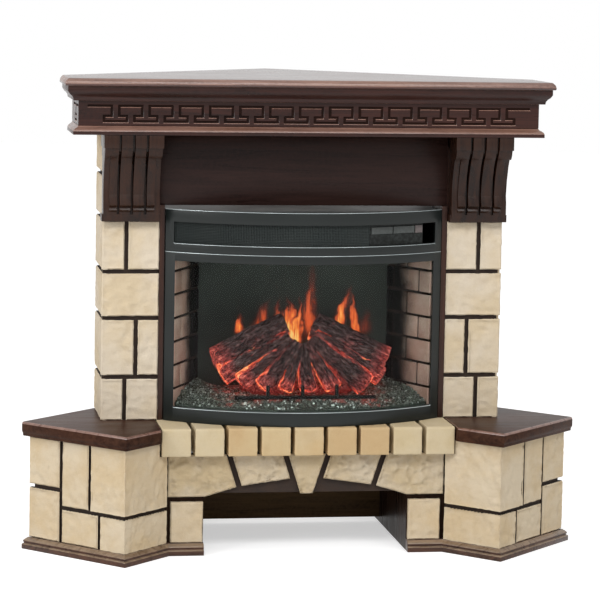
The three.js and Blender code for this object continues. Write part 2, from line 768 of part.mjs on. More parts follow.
/** Five stones of the flat arch, from the left end to the right end. */
function keystoneOutlines(half) {
  const top = brickBottomZ - seat;
  const endBottom = lintelBottomZ - 7;
  const springX = nicheHalfWidth - 2;
  const end = wingBendX - 1;
  const archRise = 41;
  const rise = (x) => endBottom + archRise * (1 - (x / springX) ** 2);
  const lean = 0.32;                 // how far a joint leans for each millimetre of height
  const jointX = (x, z) => x + (z - top) * lean;
  const outerJoint = 181;
  const innerJoint = 50.5;
  const soffit = (x) => {
    let low = x;
    for (let i = 0; i < 12; i += 1) low = jointX(x, rise(low));
    return low;
  };
  const left = (outline) => outline.map(([x, z]) => [-x, z]).reverse();
  const big = [
    [springX, endBottom], [end, endBottom], [end, top], [outerJoint + half, top],
    [soffit(outerJoint + half), rise(soffit(outerJoint + half))],
  ];
  const middle = [
    [soffit(innerJoint + half), rise(soffit(innerJoint + half))],
    [soffit(outerJoint - half), rise(soffit(outerJoint - half))],
    [outerJoint - half, top], [innerJoint + half, top],
  ];
  const keyTip = endBottom + 5;
  const key = [
    [-jointX(innerJoint - half, keyTip), keyTip], [jointX(innerJoint - half, keyTip), keyTip],
    [innerJoint - half, top], [-innerJoint + half, top],
  ];
  return [left(big), left(middle), key, middle, big];
}

function buildHearth() {
  const width = (2 * brickRowHalfWidth - (brickCount - 1) * brickGap) / brickCount;
  const frontY = wingBendY - brickOverhang;
  const edge = 4;
  for (let i = 0; i < brickCount; i += 1) {
    const x0 = -brickRowHalfWidth + i * (width + brickGap);
    const full = rectangle(x0, x0 + width, frontY, frontY + brickLength);
    add(`hearth_brick_${i + 1}`, stack([
      { z: brickBottomZ, outline: full },
      { z: slabTopZ - edge, outline: full },
      { z: slabTopZ, outline: rectangle(x0, x0 + width, frontY + edge, frontY + brickLength) },
    ]), sandstone);
  }

  // Raised shelf under the insert: a board on three bearers
  const shelfFront = frontY + brickLength + 3;
  const shelfBack = nicheBackY - seat;
  const shelfHalf = brickRowHalfWidth;
  const bearerWidth = 30;
  const bearer = (centre) => box(centre - bearerWidth / 2, centre + bearerWidth / 2,
    shelfFront + 10, shelfBack - 10, brickBottomZ, slabTopZ - boardThickness + 1);
  const bearerX = nicheHalfWidth - bearerWidth / 2 - 5;
  add('insert_shelf', carve([
    box(-shelfHalf, shelfHalf, shelfFront, shelfBack, slabTopZ - boardThickness, slabTopZ),
    bearer(-bearerX), bearer(0), bearer(bearerX),
  ]), rawBoard);
}

// ---------------------------------------------------------------- electric insert

/** Plan of the insert's shell: bowed in front and square behind. */
function shellOutline(radius, halfWidth, backY, steps = 20) {
  return [...bowPoints(radius, -halfWidth, halfWidth, steps), [halfWidth, backY], [-halfWidth, backY]];
}

function buildCase() {
  const radius = bowRadius - frameThickness - seat;
  const inside = caseHalfWidth - steelThickness;
  const shell = prism(shellOutline(radius, caseHalfWidth, caseBackY), insertBottomZ, caseTopZ);
  const hollow = prism([
    ...bowPoints(bowRadius + 30, -inside, inside, 20),
    [inside, caseBackY - steelThickness], [-inside, caseBackY - steelThickness],
  ], insertBottomZ + steelThickness, caseTopZ - steelThickness);
  const slots = [];
  const slotWidth = 8;
  const slotPitch = 20;
  const slotCount = 12;
  const slotTop = caseTopZ - 19;
  const slotHeight = 54;
  for (let i = 0; i < slotCount; i += 1) {
    const x = (i - (slotCount - 1) / 2) * slotPitch;
    slots.push(box(x - slotWidth / 2, x + slotWidth / 2, caseBackY - 10, caseBackY + 10,
      slotTop - slotHeight, slotTop));
  }
  const inlet = inletPlace();
  slots.push(box(inlet.x - inlet.halfWidth - seat, inlet.x + inlet.halfWidth + seat,
    caseBackY - 10, caseBackY + 10, inlet.z - inlet.halfHeight - seat, inlet.z + inlet.halfHeight + seat));
  add('insert_case', carve([shell], [hollow, ...slots]), caseSteel);
}

const inletPlace = () => ({ x: 262, z: 345, halfWidth: 14, halfHeight: 10.5 });

function buildInlet() {
  const { x, z, halfWidth, halfHeight } = inletPlace();
  const flange = 5;
  const flangeThickness = 3;
  const body = box(x - halfWidth, x + halfWidth, caseBackY - 22, caseBackY + seat + flangeThickness,
    z - halfHeight, z + halfHeight);
  const rim = box(x - halfWidth - flange, x + halfWidth + flange, caseBackY + seat,
    caseBackY + seat + flangeThickness, z - halfHeight - flange, z + halfHeight + flange);
  const socket = box(x - halfWidth + 2.5, x + halfWidth - 2.5, caseBackY - 14, caseBackY + 10,
    z - halfHeight + 2.5, z + halfHeight - 2.5);
  const pinX = 7;
  const pins = [-pinX, 0, pinX].map((dx) => box(x + dx - 1, x + dx + 1, caseBackY - 16, caseBackY - 1,
    z - 3, z + 1));
  add('mains_inlet', carve([fromManifold(toManifold(body).add(toManifold(rim)).subtract(toManifold(socket))),
    ...pins]), motorBlack);
}

function buildFront() {
  const glassFrameBottom = insertBottomZ;
  add('grille_frame', carve(
    [bowBand(bowRadius, frameThickness, -insertHalfWidth, insertHalfWidth, glassFrameTopZ + 0.7, insertTopZ, 28)],
    [box(-grilleHalfWidth, grilleHalfWidth, -60, 120, grilleBottomZ, grilleTopZ)]), insertSteel);

  add('glass_frame', carve(
    [bowBand(bowRadius, frameThickness, -insertHalfWidth, insertHalfWidth, glassFrameBottom, glassFrameTopZ, 28)],
    [box(-windowHalfWidth, windowHalfWidth, -60, 120, windowBottomZ, windowTopZ)]), insertSteel);

  const glassHalf = windowHalfWidth + glassMargin;
  add('front_glass', bowBand(bowRadius - frameThickness - seat, glassThickness, -glassHalf, glassHalf,
    windowBottomZ - glassMargin, windowTopZ + glassMargin, 24), glass);

  const meshRadius = bowRadius - 8;
  const meshEnd = 136;
  const columns = 26;
  const rows = 2;
  const wire = 3;
  const meshBand = bowBand(meshRadius, 1.5, -grilleHalfWidth + seat, meshEnd, grilleBottomZ + seat,
    grilleTopZ - seat, 22);
  const stepX = (meshEnd + grilleHalfWidth - seat - wire) / columns;
  const stepZ = (grilleTopZ - grilleBottomZ - 2 * seat - wire) / rows;
  const holes = [];
  for (let i = 0; i < columns; i += 1) {
    for (let j = 0; j < rows; j += 1) {
      const x = -grilleHalfWidth + seat + wire + i * stepX;
      const z = grilleBottomZ + seat + wire + j * stepZ;
      holes.push(box(x, x + stepX - wire, -60, 120, z, z + stepZ - wire));
    }
  }
  add('grille_mesh', carve([meshBand], holes), blackSteel);
}

/** Place of the flat control panel, set across the bow. Its +Z axis looks out of the fire. */
function controlPlace() {
  const angle = THREE.MathUtils.degToRad(controlAngle);
  const radius = bowRadius - frameThickness - 6;
  const origin = [radius * Math.sin(angle), bowCentreY - radius * Math.cos(angle)];
  const place = face(origin, [Math.cos(angle), Math.sin(angle)]);
  return place;
}

function buildControls() {
  const place = controlPlace();
  const onPanel = (geometry) => geometry.applyMatrix4(place);
  const plate = 2.5;
  const half = controlPanelWidth / 2;
  const keyZ = grilleTopZ - 6 - keyHeight / 2;
  const gap = 2.4;
  const keyStart = -half + 4;
  const rockerU = keyStart + 2 * (keyWidth + gap) + rockerWidth / 2 + 0.4;
  const keySpan = (i) => [keyStart + i * (keyWidth + gap), keyStart + i * (keyWidth + gap) + keyWidth];
  const holes = [0, 1].map((i) => {
    const [u0, u1] = keySpan(i);
    return onPanel(box(u0 - keyClearance, u1 + keyClearance, keyZ - keyHeight / 2 - keyClearance,
      keyZ + keyHeight / 2 + keyClearance, -20, 20));
  });
  const rockerHole = onPanel(box(rockerU - rockerWidth / 2 - 1, rockerU + rockerWidth / 2 + 1,
    keyZ - keyHeight / 2 - keyClearance, keyZ + keyHeight / 2 + keyClearance, -20, 20));
  add('control_panel', carve(
    [onPanel(box(-half, half, grilleBottomZ + seat, grilleTopZ - seat, -plate, 0))],
    [...holes, rockerHole]), blackSteel);

  const keyDepth = 8;
  const proud = 2;
  ['flame_button', 'heat_button'].forEach((name, i) => {
    const [u0, u1] = keySpan(i);
    const button = stack([
      { z: proud - keyDepth, outline: rectangle(u0, u1, keyZ - keyHeight / 2, keyZ + keyHeight / 2) },
      { z: proud - 0.8, outline: rectangle(u0, u1, keyZ - keyHeight / 2, keyZ + keyHeight / 2) },
      { z: proud, outline: rectangle(u0 + 0.8, u1 - 0.8, keyZ - keyHeight / 2 + 0.8, keyZ + keyHeight / 2 - 0.8) },
    ]);
    add(name, onPanel(button), keyGrey);
  });

  const tilt = THREE.MathUtils.degToRad(rockerTilt);
  const w = rockerWidth / 2;
  const rockerShape = new THREE.Shape([
    point(-w, -1.5), point(-w * 0.55, -5.5), point(w * 0.55, -5.5), point(w, -1.5),
    point(w, 2.2), point(0, 2.2 - w * Math.tan(tilt)), point(-w, 2.2),
  ]);
  const rocker = new THREE.ExtrudeGeometry(rockerShape, { depth: keyHeight, bevelEnabled: false });
  rocker.applyMatrix4(new THREE.Matrix4().makeBasis(
    new THREE.Vector3(1, 0, 0), new THREE.Vector3(0, 0, 1), new THREE.Vector3(0, -1, 0)));
  rocker.applyMatrix4(new THREE.Matrix4().makeRotationY(-tilt));
  rocker.translate(rockerU, keyZ + keyHeight / 2, 0);
  add('power_switch', onPanel(rocker), switchBlack);

  const boardDepth = -keyDepth - 4;
  const circuit = box(-half + 6, half - 4, grilleBottomZ + 4, grilleTopZ - 4, boardDepth - 1.6, boardDepth);
  const tactParts = [0, 1].map((i) => {
    const middle = (keySpan(i)[0] + keySpan(i)[1]) / 2;
    return box(middle - 3, middle + 3, keyZ - 3, keyZ + 3, boardDepth - 0.5, proud - keyDepth - keyTravel - 0.4);
  });
  const rockerBox = box(rockerU - w + 1, rockerU + w - 1, keyZ - keyHeight / 2, keyZ + keyHeight / 2,
    boardDepth - 0.5, -8.2);
  const posts = [-half + 10, half - 8].map((u) => box(u - 2, u + 2, grilleBottomZ + 6, grilleBottomZ + 10,
    boardDepth - 0.5, -plate - seat));
  add('control_board', onPanel(carve([circuit, ...tactParts, rockerBox, ...posts])), circuitGreen);
}

function buildFireChamber() {
  const glassBack = bowRadius - frameThickness - seat - glassThickness;
  const ceilingRadius = glassBack - seat;
  const inside = caseHalfWidth - steelThickness - seat;
  const backInside = caseBackY - steelThickness - seat;
  add('chamber_ceiling', prism(shellOutline(ceilingRadius + 3.5, inside, backInside),
    ceilingZ, ceilingZ + steelThickness), blackSteel);

  const linerTop = ceilingZ - seat;
  const linerBack = screenY - seat;
  addPair('brick_liner', prism([
    [299, 100], [308, 103], [240, linerBack], [229, linerBack],
  ], insertBottomZ + steelThickness + seat, linerTop), redBrick);

  add('flame_screen', box(-screenHalfWidth, screenHalfWidth, screenY, screenY + 3,
    insertBottomZ + steelThickness + seat, linerTop), screenPlastic);
  add('ember_bed', buildEmberBed(glassBack - 1), embers);
  add('log_set', buildLogs(), charredLog);
}

/** Bed of crushed glass: low along the bowed front, level under the logs. */
function buildEmberBed(frontRadius) {
  const columns = 22;
  const rows = 7;
  const floorZ = insertBottomZ + steelThickness + seat;
  const backY = screenY - seat;
  const slope = 45;
  const linerX = (y) => 299 - ((y - 100) * 70) / (linerBackY() - 100) - 1.2;
  const top = [];
  const bottom = [];
  for (let j = 0; j <= rows; j += 1) {
    for (let i = 0; i <= columns; i += 1) {
      const across = (2 * i) / columns - 1;
      const frontX = across * 296;
      const backX = across * linerX(backY);
      const frontY = bowY(frontX, frontRadius);
      const t = j / rows;
      const y = frontY + (backY - frontY) * t;
      const widest = y < 100 ? 296 : linerX(y);
      const x = Math.max(-widest, Math.min(widest, frontX + (backX - frontX) * t));
      const depth = y - frontY;
      const level = Math.min(1, depth / slope);
      const ripple = level < 1 ? 1.2 * Math.sin(i * 2.1 + j) : 0;
      const aside = Math.min(1, Math.max(0, (Math.abs(x) - bedLevelHalfWidth) / 22));
      const behind = Math.max(0, (y - 95) / (backY - 95));
      top.push(new THREE.Vector3(x, y, trayZ + 12 + (bedTopZ - trayZ - 12) * level + ripple
        + bedCornerRise * aside * behind));
      bottom.push(new THREE.Vector3(x, y, floorZ));
    }
  }
  return slabBetween(top, bottom, columns, rows);
}

const linerBackY = () => screenY - seat;

/** Closed solid between two grids of points that share their plan. */
function slabBetween(top, bottom, columns, rows) {
  const wide = columns + 1;
  const positions = [...top, ...bottom].flatMap((p) => [p.x, p.y, p.z]);
  const lower = top.length;
  const index = [];
  const quad = (a, b, c, d) => index.push(a, b, c, a, c, d);
  for (let j = 0; j < rows; j += 1) {
    for (let i = 0; i < columns; i += 1) {
      const a = j * wide + i;
      quad(a, a + 1, a + 1 + wide, a + wide);
      quad(lower + a, lower + a + wide, lower + a + 1 + wide, lower + a + 1);
    }
  }
  for (let i = 0; i < columns; i += 1) {
    const last = rows * wide + i;
    quad(lower + i, lower + i + 1, i + 1, i);
    quad(last, last + 1, lower + last + 1, lower + last);
  }
  for (let j = 0; j < rows; j += 1) {
    const left = j * wide;
    const right = left + columns;
    quad(left, left + wide, lower + left + wide, lower + left);
    quad(lower + right, lower + right + wide, right + wide, right);
  }
  const geometry = new THREE.BufferGeometry();
  geometry.setAttribute('position', new THREE.Float32BufferAttribute(positions, 3));
  geometry.setIndex(index);
  return geometry;
}

/** One log between two ends, with a slight bark lobing. */
function logBetween(from, to, startRadius, endRadius) {
  const sides = 8;
  const rings = 4;
  const start = new THREE.Vector3(...from);
  const axis = new THREE.Vector3(...to).sub(start);
  const length = axis.length();
  const turn = new THREE.Quaternion().setFromUnitVectors(new THREE.Vector3(0, 0, 1), axis.clone().normalize());
  const levels = Array.from({ length: rings + 1 }, (_, r) => {
    const t = r / rings;
    const radius = startRadius + (endRadius - startRadius) * t;
    const outline = Array.from({ length: sides }, (_, i) => {
      const angle = (i / sides) * Math.PI * 2;
      const bark = radius * (1 + 0.08 * Math.sin(3 * angle + 2 * r) + 0.05 * Math.cos(5 * angle + r));
      return [bark * Math.cos(angle), bark * Math.sin(angle)];
    });
    return { z: length * t, outline };
  });
  return stack(levels).applyQuaternion(turn).translate(start.x, start.y, start.z);
}

/** Moulded log set: two large logs lean together over a fan of split ones. */
function buildLogs() {
  const hubZ = bedTopZ + 105;
  const grateY = 34;
  const logs = [
    logBetween([-205, 120, bedTopZ + 75], [-15, 150, bedTopZ + 148], 34, 30),
    logBetween([205, 118, bedTopZ + 72], [15, 152, bedTopZ + 140], 34, 30),
    logBetween([-175, 92, bedTopZ + 30], [-35, 125, hubZ], 24, 17),
    logBetween([-142, 72, bedTopZ + 16], [-26, 118, hubZ - 4], 24, 15),
    logBetween([-92, 58, bedTopZ + 14], [-15, 115, hubZ - 8], 23, 14),
    logBetween([-42, 48, bedTopZ + 14], [-5, 112, hubZ - 12], 24, 14),
    logBetween([8, 44, bedTopZ + 14], [4, 112, hubZ - 12], 24, 15),
    logBetween([62, 50, bedTopZ + 14], [14, 115, hubZ - 10], 24, 14),
    logBetween([140, 66, bedTopZ + 18], [26, 120, hubZ - 2], 27, 18),
    logBetween([182, 90, bedTopZ + 32], [38, 128, hubZ], 24, 17),
    logBetween([-110, 190, bedTopZ + 25], [120, 200, bedTopZ + 28], 26, 24),
    box(-150, 150, 95, 200, bedTopZ + 0.5, bedTopZ + 40),
    box(-165, 165, grateY, grateY + 6, bedTopZ + seat, bedTopZ + 9),
    ...[-88, -7, 73].map((x) => box(x - 4, x + 4, grateY - 3, grateY + 6, bedTopZ + seat, bedTopZ + 34)),
  ];
  const under = box(-400, 400, -200, 400, bedTopZ - 200, bedTopZ + seat);
  return carve(logs, [under]);
}

// ---------------------------------------------------------------- flicker drive and heater

function buildFlicker() {
  const tabs = 10;
  const span = 2 * flickerHalfLength;
  const tabLength = span / tabs - 6;
  const strips = Array.from({ length: tabs }, (_, i) => {
    const x = -flickerHalfLength + 5 + i * (span / tabs);
    const strip = box(x, x + tabLength, -15, 15, -0.6, 0.6);
    strip.rotateX((i * Math.PI) / 5 + 0.3);
    return strip.translate(0, flickerY, flickerZ);
  });
  const shaftEnd = flickerHalfLength + 12;
  add('flicker_rotor', carve([rod('x', [0, flickerY, flickerZ], shaftRadius, 2 * shaftEnd), ...strips]), brightMetal);

  const plate = 3;
  const boreLength = 4 * flickerHalfLength;
  const hole = rod('x', [0, flickerY, flickerZ], shaftRadius + shaftClearance, boreLength);
  const plateBottom = insertBottomZ + steelThickness + seat;
  const bracketX = flickerHalfLength + 4;
  const bracket = carve([
    box(bracketX, bracketX + plate, screenY + 6, caseBackY - steelThickness - seat, plateBottom, flickerZ + 16),
    box(bracketX, bracketX + 24, screenY + 6, caseBackY - steelThickness - seat, plateBottom, plateBottom + plate),
  ], [hole]);
  add('rotor_bracket', bracket, caseSteel);

  const motorX = -bracketX - plate;
  add('rotor_motor', carve([
    box(motorX, motorX + plate, screenY + 6, caseBackY - steelThickness - seat, plateBottom, flickerZ + 20),
    rod('x', [motorX - 11, flickerY, flickerZ], 19, 22),
    box(motorX - 20, motorX + plate, screenY + 6, caseBackY - steelThickness - seat, plateBottom, plateBottom + plate),
  ], [hole.clone().translate(boreLength / 2 + motorX - 8, 0, 0)]), motorBlack);

  const stripZ = plateBottom;
  const ledHalf = 170;
  const leds = Array.from({ length: 9 }, (_, i) => {
    const x = -160 + i * 40;
    return box(x - 3, x + 3, flickerY - 3, flickerY + 3, stripZ + 1.5, stripZ + 4);
  });
  add('led_board', carve([box(-ledHalf, ledHalf, flickerY - 10, flickerY + 10, stripZ, stripZ + 1.6), ...leds]),
    circuitGreen);
}

function buildBlower() {
  const centre = [(blowerStartX + blowerEndX) / 2, blowerY, blowerZ];
  const length = blowerEndX - blowerStartX - 2 * 3;
  const blades = 12;
  const disc = (x) => rod('x', [x, blowerY, blowerZ], blowerRadius, 2);
  const bladeSolids = Array.from({ length: blades }, (_, i) => {
    const blade = box(-length / 2, length / 2, blowerRadius - 8, blowerRadius - 0.8, -0.6, 0.6);
    blade.rotateX((i / blades) * Math.PI * 2);
    return blade.translate(...centre);
  });
  const shaftLength = blowerEndX - blowerStartX + 16;
  add('blower_rotor', carve([
    rod('x', centre, shaftRadius, shaftLength),
    disc(centre[0] - length / 2 + 1), disc(centre[0] + length / 2 - 1), disc(centre[0]),
    ...bladeSolids,
  ]), brightMetal);

  // Scroll: an outlet duct towards the grille and a curved back, open above for the intake
  const duct = 1.6;
  const clear = blowerRadius + 4;
  const lipY = 28;
  const top = blowerZ + 22;
  const bottom = blowerZ - clear - duct;
  const arc = (radius, from, to, steps) => Array.from({ length: steps + 1 }, (_, i) => {
    const angle = THREE.MathUtils.degToRad(from + ((to - from) * i) / steps);
    return [blowerY + radius * Math.cos(angle), blowerZ + radius * Math.sin(angle)];
  });
  const scroll = sideProfile([
    [lipY, bottom], ...arc(clear + duct, -90, 60, 10), ...arc(clear, 60, -90, 10), [lipY, bottom + duct],
  ], blowerStartX, blowerEndX);
  const roof = sideProfile([
    [lipY, top], [blowerY - clear - 4, top], [blowerY - clear - 4, top + duct], [lipY, top + duct],
  ], blowerStartX, blowerEndX);
  const cheekHeight = caseTopZ - steelThickness - 3;
  const cheek = (x0) => sideProfile([
    [lipY, bottom], [blowerY + clear + duct, bottom], [blowerY + clear + duct, cheekHeight - 8],
    [blowerY - clear - 4, cheekHeight - 8], [lipY, top + duct],
  ], x0, x0 + 2);
  const footDepth = blowerZ - clear - duct - ceilingZ - steelThickness - seat;
  const feet = [blowerStartX + 20, blowerEndX - 40].map((x) =>
    box(x, x + 20, blowerY - 10, blowerY + 10, bottom - footDepth, bottom + 0.4));
  const hole = rod('x', centre, shaftRadius + shaftClearance, 600);
  add('blower_housing', carve([scroll, roof, cheek(blowerStartX - 2), cheek(blowerEndX), ...feet], [hole]), caseSteel);

  const motorX = blowerEndX + 2 + seat;
  const motorLength = 34;
  const foot = box(motorX + 6, motorX + 26, blowerY - 16, blowerY + 16, ceilingZ + steelThickness + seat, blowerZ - 18);
  add('blower_motor', carve([
    rod('x', [motorX + motorLength / 2, blowerY, blowerZ], 24, motorLength), foot,
  ], [rod('x', [motorX, blowerY, blowerZ], shaftRadius + shaftClearance, 20)]), motorBlack);

  const finCount = 18;
  const x0 = blowerStartX + 3;
  const x1 = blowerEndX - 3;
  const z0 = bottom + duct + seat;
  const z1 = top - seat;
  const rail = 4;
  const finDepth = 14;
  const finY = 56;
  const pitch = (x1 - x0 - 2) / finCount;
  const gaps = Array.from({ length: finCount }, (_, i) => {
    const start = x0 + 2 + i * pitch;
    return box(start, start + pitch - 2, finY - 1, finY + finDepth + 1, z0 + rail, z1 - rail);
  });
  add('heater_element', carve([box(x0, x1, finY, finY + finDepth, z0, z1)], gaps), brightMetal);
}

// ---------------------------------------------------------------- build everything

buildMantel();
buildPiers();
buildWings();
buildNiche();
buildHearth();
buildCase();
buildInlet();
buildFront();
buildControls();
buildFireChamber();
buildFlicker();
buildBlower();

// The origin lies on the floor, under the middle of the whole object's box.
const frontMost = wingCornerY - slabOverhang * Math.SQRT2;
fireplace.position.set(0, -(frontMost + wallSum) / 2, 0);

export default fireplace;
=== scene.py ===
"""Looks of the corner fireplace: finishes, carved stone, fire chamber, camera and light.

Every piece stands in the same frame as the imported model, in metres, with +Z up, the viewer at -Y
and the corner of the room at +Y.
"""

import json
import logging
import math
import random
from dataclasses import dataclass
from enum import Enum
from typing import Callable, Iterable, Optional, Sequence

import bmesh
import bpy
from mathutils import Matrix, Vector, noise

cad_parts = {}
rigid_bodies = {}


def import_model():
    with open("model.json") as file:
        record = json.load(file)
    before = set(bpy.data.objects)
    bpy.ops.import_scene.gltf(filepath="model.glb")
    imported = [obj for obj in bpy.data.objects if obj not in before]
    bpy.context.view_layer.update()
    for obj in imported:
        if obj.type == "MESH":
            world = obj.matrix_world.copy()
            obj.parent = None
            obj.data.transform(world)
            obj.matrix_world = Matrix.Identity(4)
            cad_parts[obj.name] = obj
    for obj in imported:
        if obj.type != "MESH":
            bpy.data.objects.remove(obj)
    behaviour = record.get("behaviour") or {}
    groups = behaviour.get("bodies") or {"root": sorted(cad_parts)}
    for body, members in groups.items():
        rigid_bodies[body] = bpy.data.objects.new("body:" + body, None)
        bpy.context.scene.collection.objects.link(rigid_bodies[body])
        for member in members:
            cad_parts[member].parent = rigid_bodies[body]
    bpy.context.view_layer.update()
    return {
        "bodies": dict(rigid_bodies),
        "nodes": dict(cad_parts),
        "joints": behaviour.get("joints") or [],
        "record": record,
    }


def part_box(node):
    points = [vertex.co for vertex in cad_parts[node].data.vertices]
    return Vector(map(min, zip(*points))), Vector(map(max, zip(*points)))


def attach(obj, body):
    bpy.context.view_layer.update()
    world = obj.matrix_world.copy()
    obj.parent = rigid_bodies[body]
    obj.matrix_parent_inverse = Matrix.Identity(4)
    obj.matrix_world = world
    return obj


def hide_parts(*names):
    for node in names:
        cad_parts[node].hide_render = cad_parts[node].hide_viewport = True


log = logging.getLogger("corner_fireplace")
Rgb = tuple[float, float, float]
Place = tuple[float, float, float]
Node = bpy.types.Node
NodeTree = bpy.types.NodeTree
Socket = bpy.types.NodeSocket
Material = bpy.types.Material
Object = bpy.types.Object
BMesh = bmesh.types.BMesh

BODY = "portal"
FRAME: dict = {}
SCREEN_DEPTH = 0.238      # from the mantel's front edge back to the flame screen
MERGE = 2e-5              # points nearer to each other than this are one
FLAT = math.radians(0.6)  # neighbouring faces within this angle are one
GRID_SHIFT = 0.137        # keeps cutting planes off a node's own edges
SHARP = 0.6               # angle in radians from which an edge keeps most of its line
SHARP_SHARE = 0.3         # share of the chisel's cut that such an edge still gets
MIX_INPUTS = (0, 6, 7)    # factor and the two colours of a Mix node for colours
MIX_RESULT = 2


# ---------------------------------------------------------------- colours and node helpers


def tint(code: str) -> Rgb:
    """Linear colour of a six-digit display colour."""
    channels = [int(code[i : i + 2], 16) / 255 for i in (0, 2, 4)]
    return tuple(c / 12.92 if c <= 0.04045 else ((c + 0.055) / 1.055) ** 2.4 for c in channels)


def shade(code: str, share: float) -> Rgb:
    """Linear colour of a display colour, times a share."""
    return tuple(c * share for c in tint(code))


class Tree:
    """Short ways to add and join nodes in one node tree."""

    def __init__(self, tree: NodeTree) -> None:
        """Wraps a node tree.

        Args:
            tree: the tree of a material, of the world or of a node group.
        """
        self.tree = tree

    def add(self, kind: str, inputs: Optional[dict] = None, **settings: object) -> Node:
        """Adds a node and fills its inputs.

        Args:
            kind: the node's type name after "ShaderNode".
            inputs: value or output socket for each input, by name or by index.
            settings: properties of the node itself.

        Returns:
            The new node.
        """
        node = self.tree.nodes.new("ShaderNode" + kind)
        for key, value in settings.items():
            setattr(node, key, value)
        for key, value in (inputs or {}).items():
            self.put(node.inputs[key], value)
        return node

    def put(self, socket: Socket, value: object) -> None:
        """Joins an output to a socket, or sets the socket's own value.

        Args:
            socket: the input to fill.
            value: an output socket, a number, a vector or a colour.
        """
        if isinstance(value, Socket):
            self.tree.links.new(value, socket)
        elif socket.type == "RGBA" and len(value) == 3:
            socket.default_value = (*value, 1.0)
        else:
            socket.default_value = value

    def math(self, operation: str, *values: object, clamp: bool = False) -> Socket:
        """Output of a math node on one to three values."""
        node = self.add("Math", dict(enumerate(values)), operation=operation, use_clamp=clamp)
        return node.outputs[0]

    def mix(self, factor: object, first: object, second: object, mode: str = "MIX") -> Socket:
        """Mixes two colours.

        Args:
            factor: share of the second colour.
            first: colour at a factor of 0.
            second: colour at a factor of 1.
            mode: the node's blend type.

        Returns:
            The mixed colour.
        """
        node = self.add("Mix", data_type="RGBA", blend_type=mode)
        for index, value in zip(MIX_INPUTS, (factor, first, second)):
            self.put(node.inputs[index], value)
        return node.outputs[MIX_RESULT]

    def ramp(self, factor: object, stops: Sequence[tuple[float, Rgb]]) -> Socket:
        """Reads a colour from a ramp.

        Args:
            factor: place on the ramp.
            stops: place and colour of each stop, in order.

        Returns:
            The colour at the factor.
        """
        node = self.add("ValToRGB", {0: factor})
        elements = node.color_ramp.elements
        while len(elements) < len(stops):
            elements.new(0.5)
        for element, (place, colour) in zip(elements, stops):
            element.position = place
            element.color = (*colour, 1.0)
        return node.outputs[0]

    def remap(self, value: object, low: float, high: float,
              to: tuple[float, float] = (0.0, 1.0)) -> Socket:
        """Takes a value from one span to another, smoothly and clamped.

        Args:
            value: the value.
            low: start of its span.
            high: end of its span.
            to: the new span.

        Returns:
            The value in the new span.
        """
        node = self.add("MapRange", {0: value, 1: low, 2: high, 3: to[0], 4: to[1]})
        node.interpolation_type = "SMOOTHSTEP"
        return node.outputs[0]

    def grit(self, vector: object, scale: float, detail: float = 4.0, **inputs: float) -> Socket:
        """Value of a noise pattern."""
        return self.add("TexNoise", {"Vector": vector, "Scale": scale, "Detail": detail, **inputs}).outputs[0]

    def stretched(self, vector: object, scale: Sequence[float], turn: Sequence[float] = (0, 0, 0),
                  shift: Sequence[float] = (0, 0, 0)) -> Socket:
        """Vector moved, turned and scaled by a mapping node."""
        return self.add("Mapping", {0: vector, 1: tuple(shift), 2: tuple(turn), 3: tuple(scale)}).outputs[0]

    def seen(self) -> Socket:
        """Tells which rays see the white surroundings.

        Returns:
            1 for rays of the camera, of gloss and through glass, and 0 for others.
        """
        path = self.add("LightPath").outputs
        glossy = self.math("MAXIMUM", path["Is Glossy Ray"], path["Is Transmission Ray"])
        return self.math("MAXIMUM", path["Is Camera Ray"], glossy)


GROUPS: dict[str, NodeTree] = {}


def group(name: str, inputs: dict, outputs: Sequence[tuple[str, str]],
          fill: Callable[[Tree, Node, Node], None]) -> NodeTree:
    """Builds a shader node group once and returns it.

    Args:
        name: the group's name.
        inputs: default value of each input; a tuple is a colour, None is a vector.
        outputs: name and kind ("Color", "Float" or "Vector") of each output.
        fill: adds the nodes between the group's input and output nodes.

    Returns:
        The group's node tree.
    """
    if name in GROUPS:
        return GROUPS[name]
    tree = bpy.data.node_groups.new(name, "ShaderNodeTree")
    for key, value in inputs.items():
        kind = "Vector" if value is None else "Color" if isinstance(value, tuple) else "Float"
        socket = tree.interface.new_socket(key, in_out="INPUT", socket_type="NodeSocket" + kind)
        if kind == "Color":
            socket.default_value = (*value, 1.0)
        elif kind == "Float":
            socket.default_value = value
    for key, kind in outputs:
        tree.interface.new_socket(key, in_out="OUTPUT", socket_type="NodeSocket" + kind)
    source, sink = tree.nodes.new("NodeGroupInput"), tree.nodes.new("NodeGroupOutput")
    fill(Tree(tree), source, sink)
    GROUPS[name] = tree
    return tree


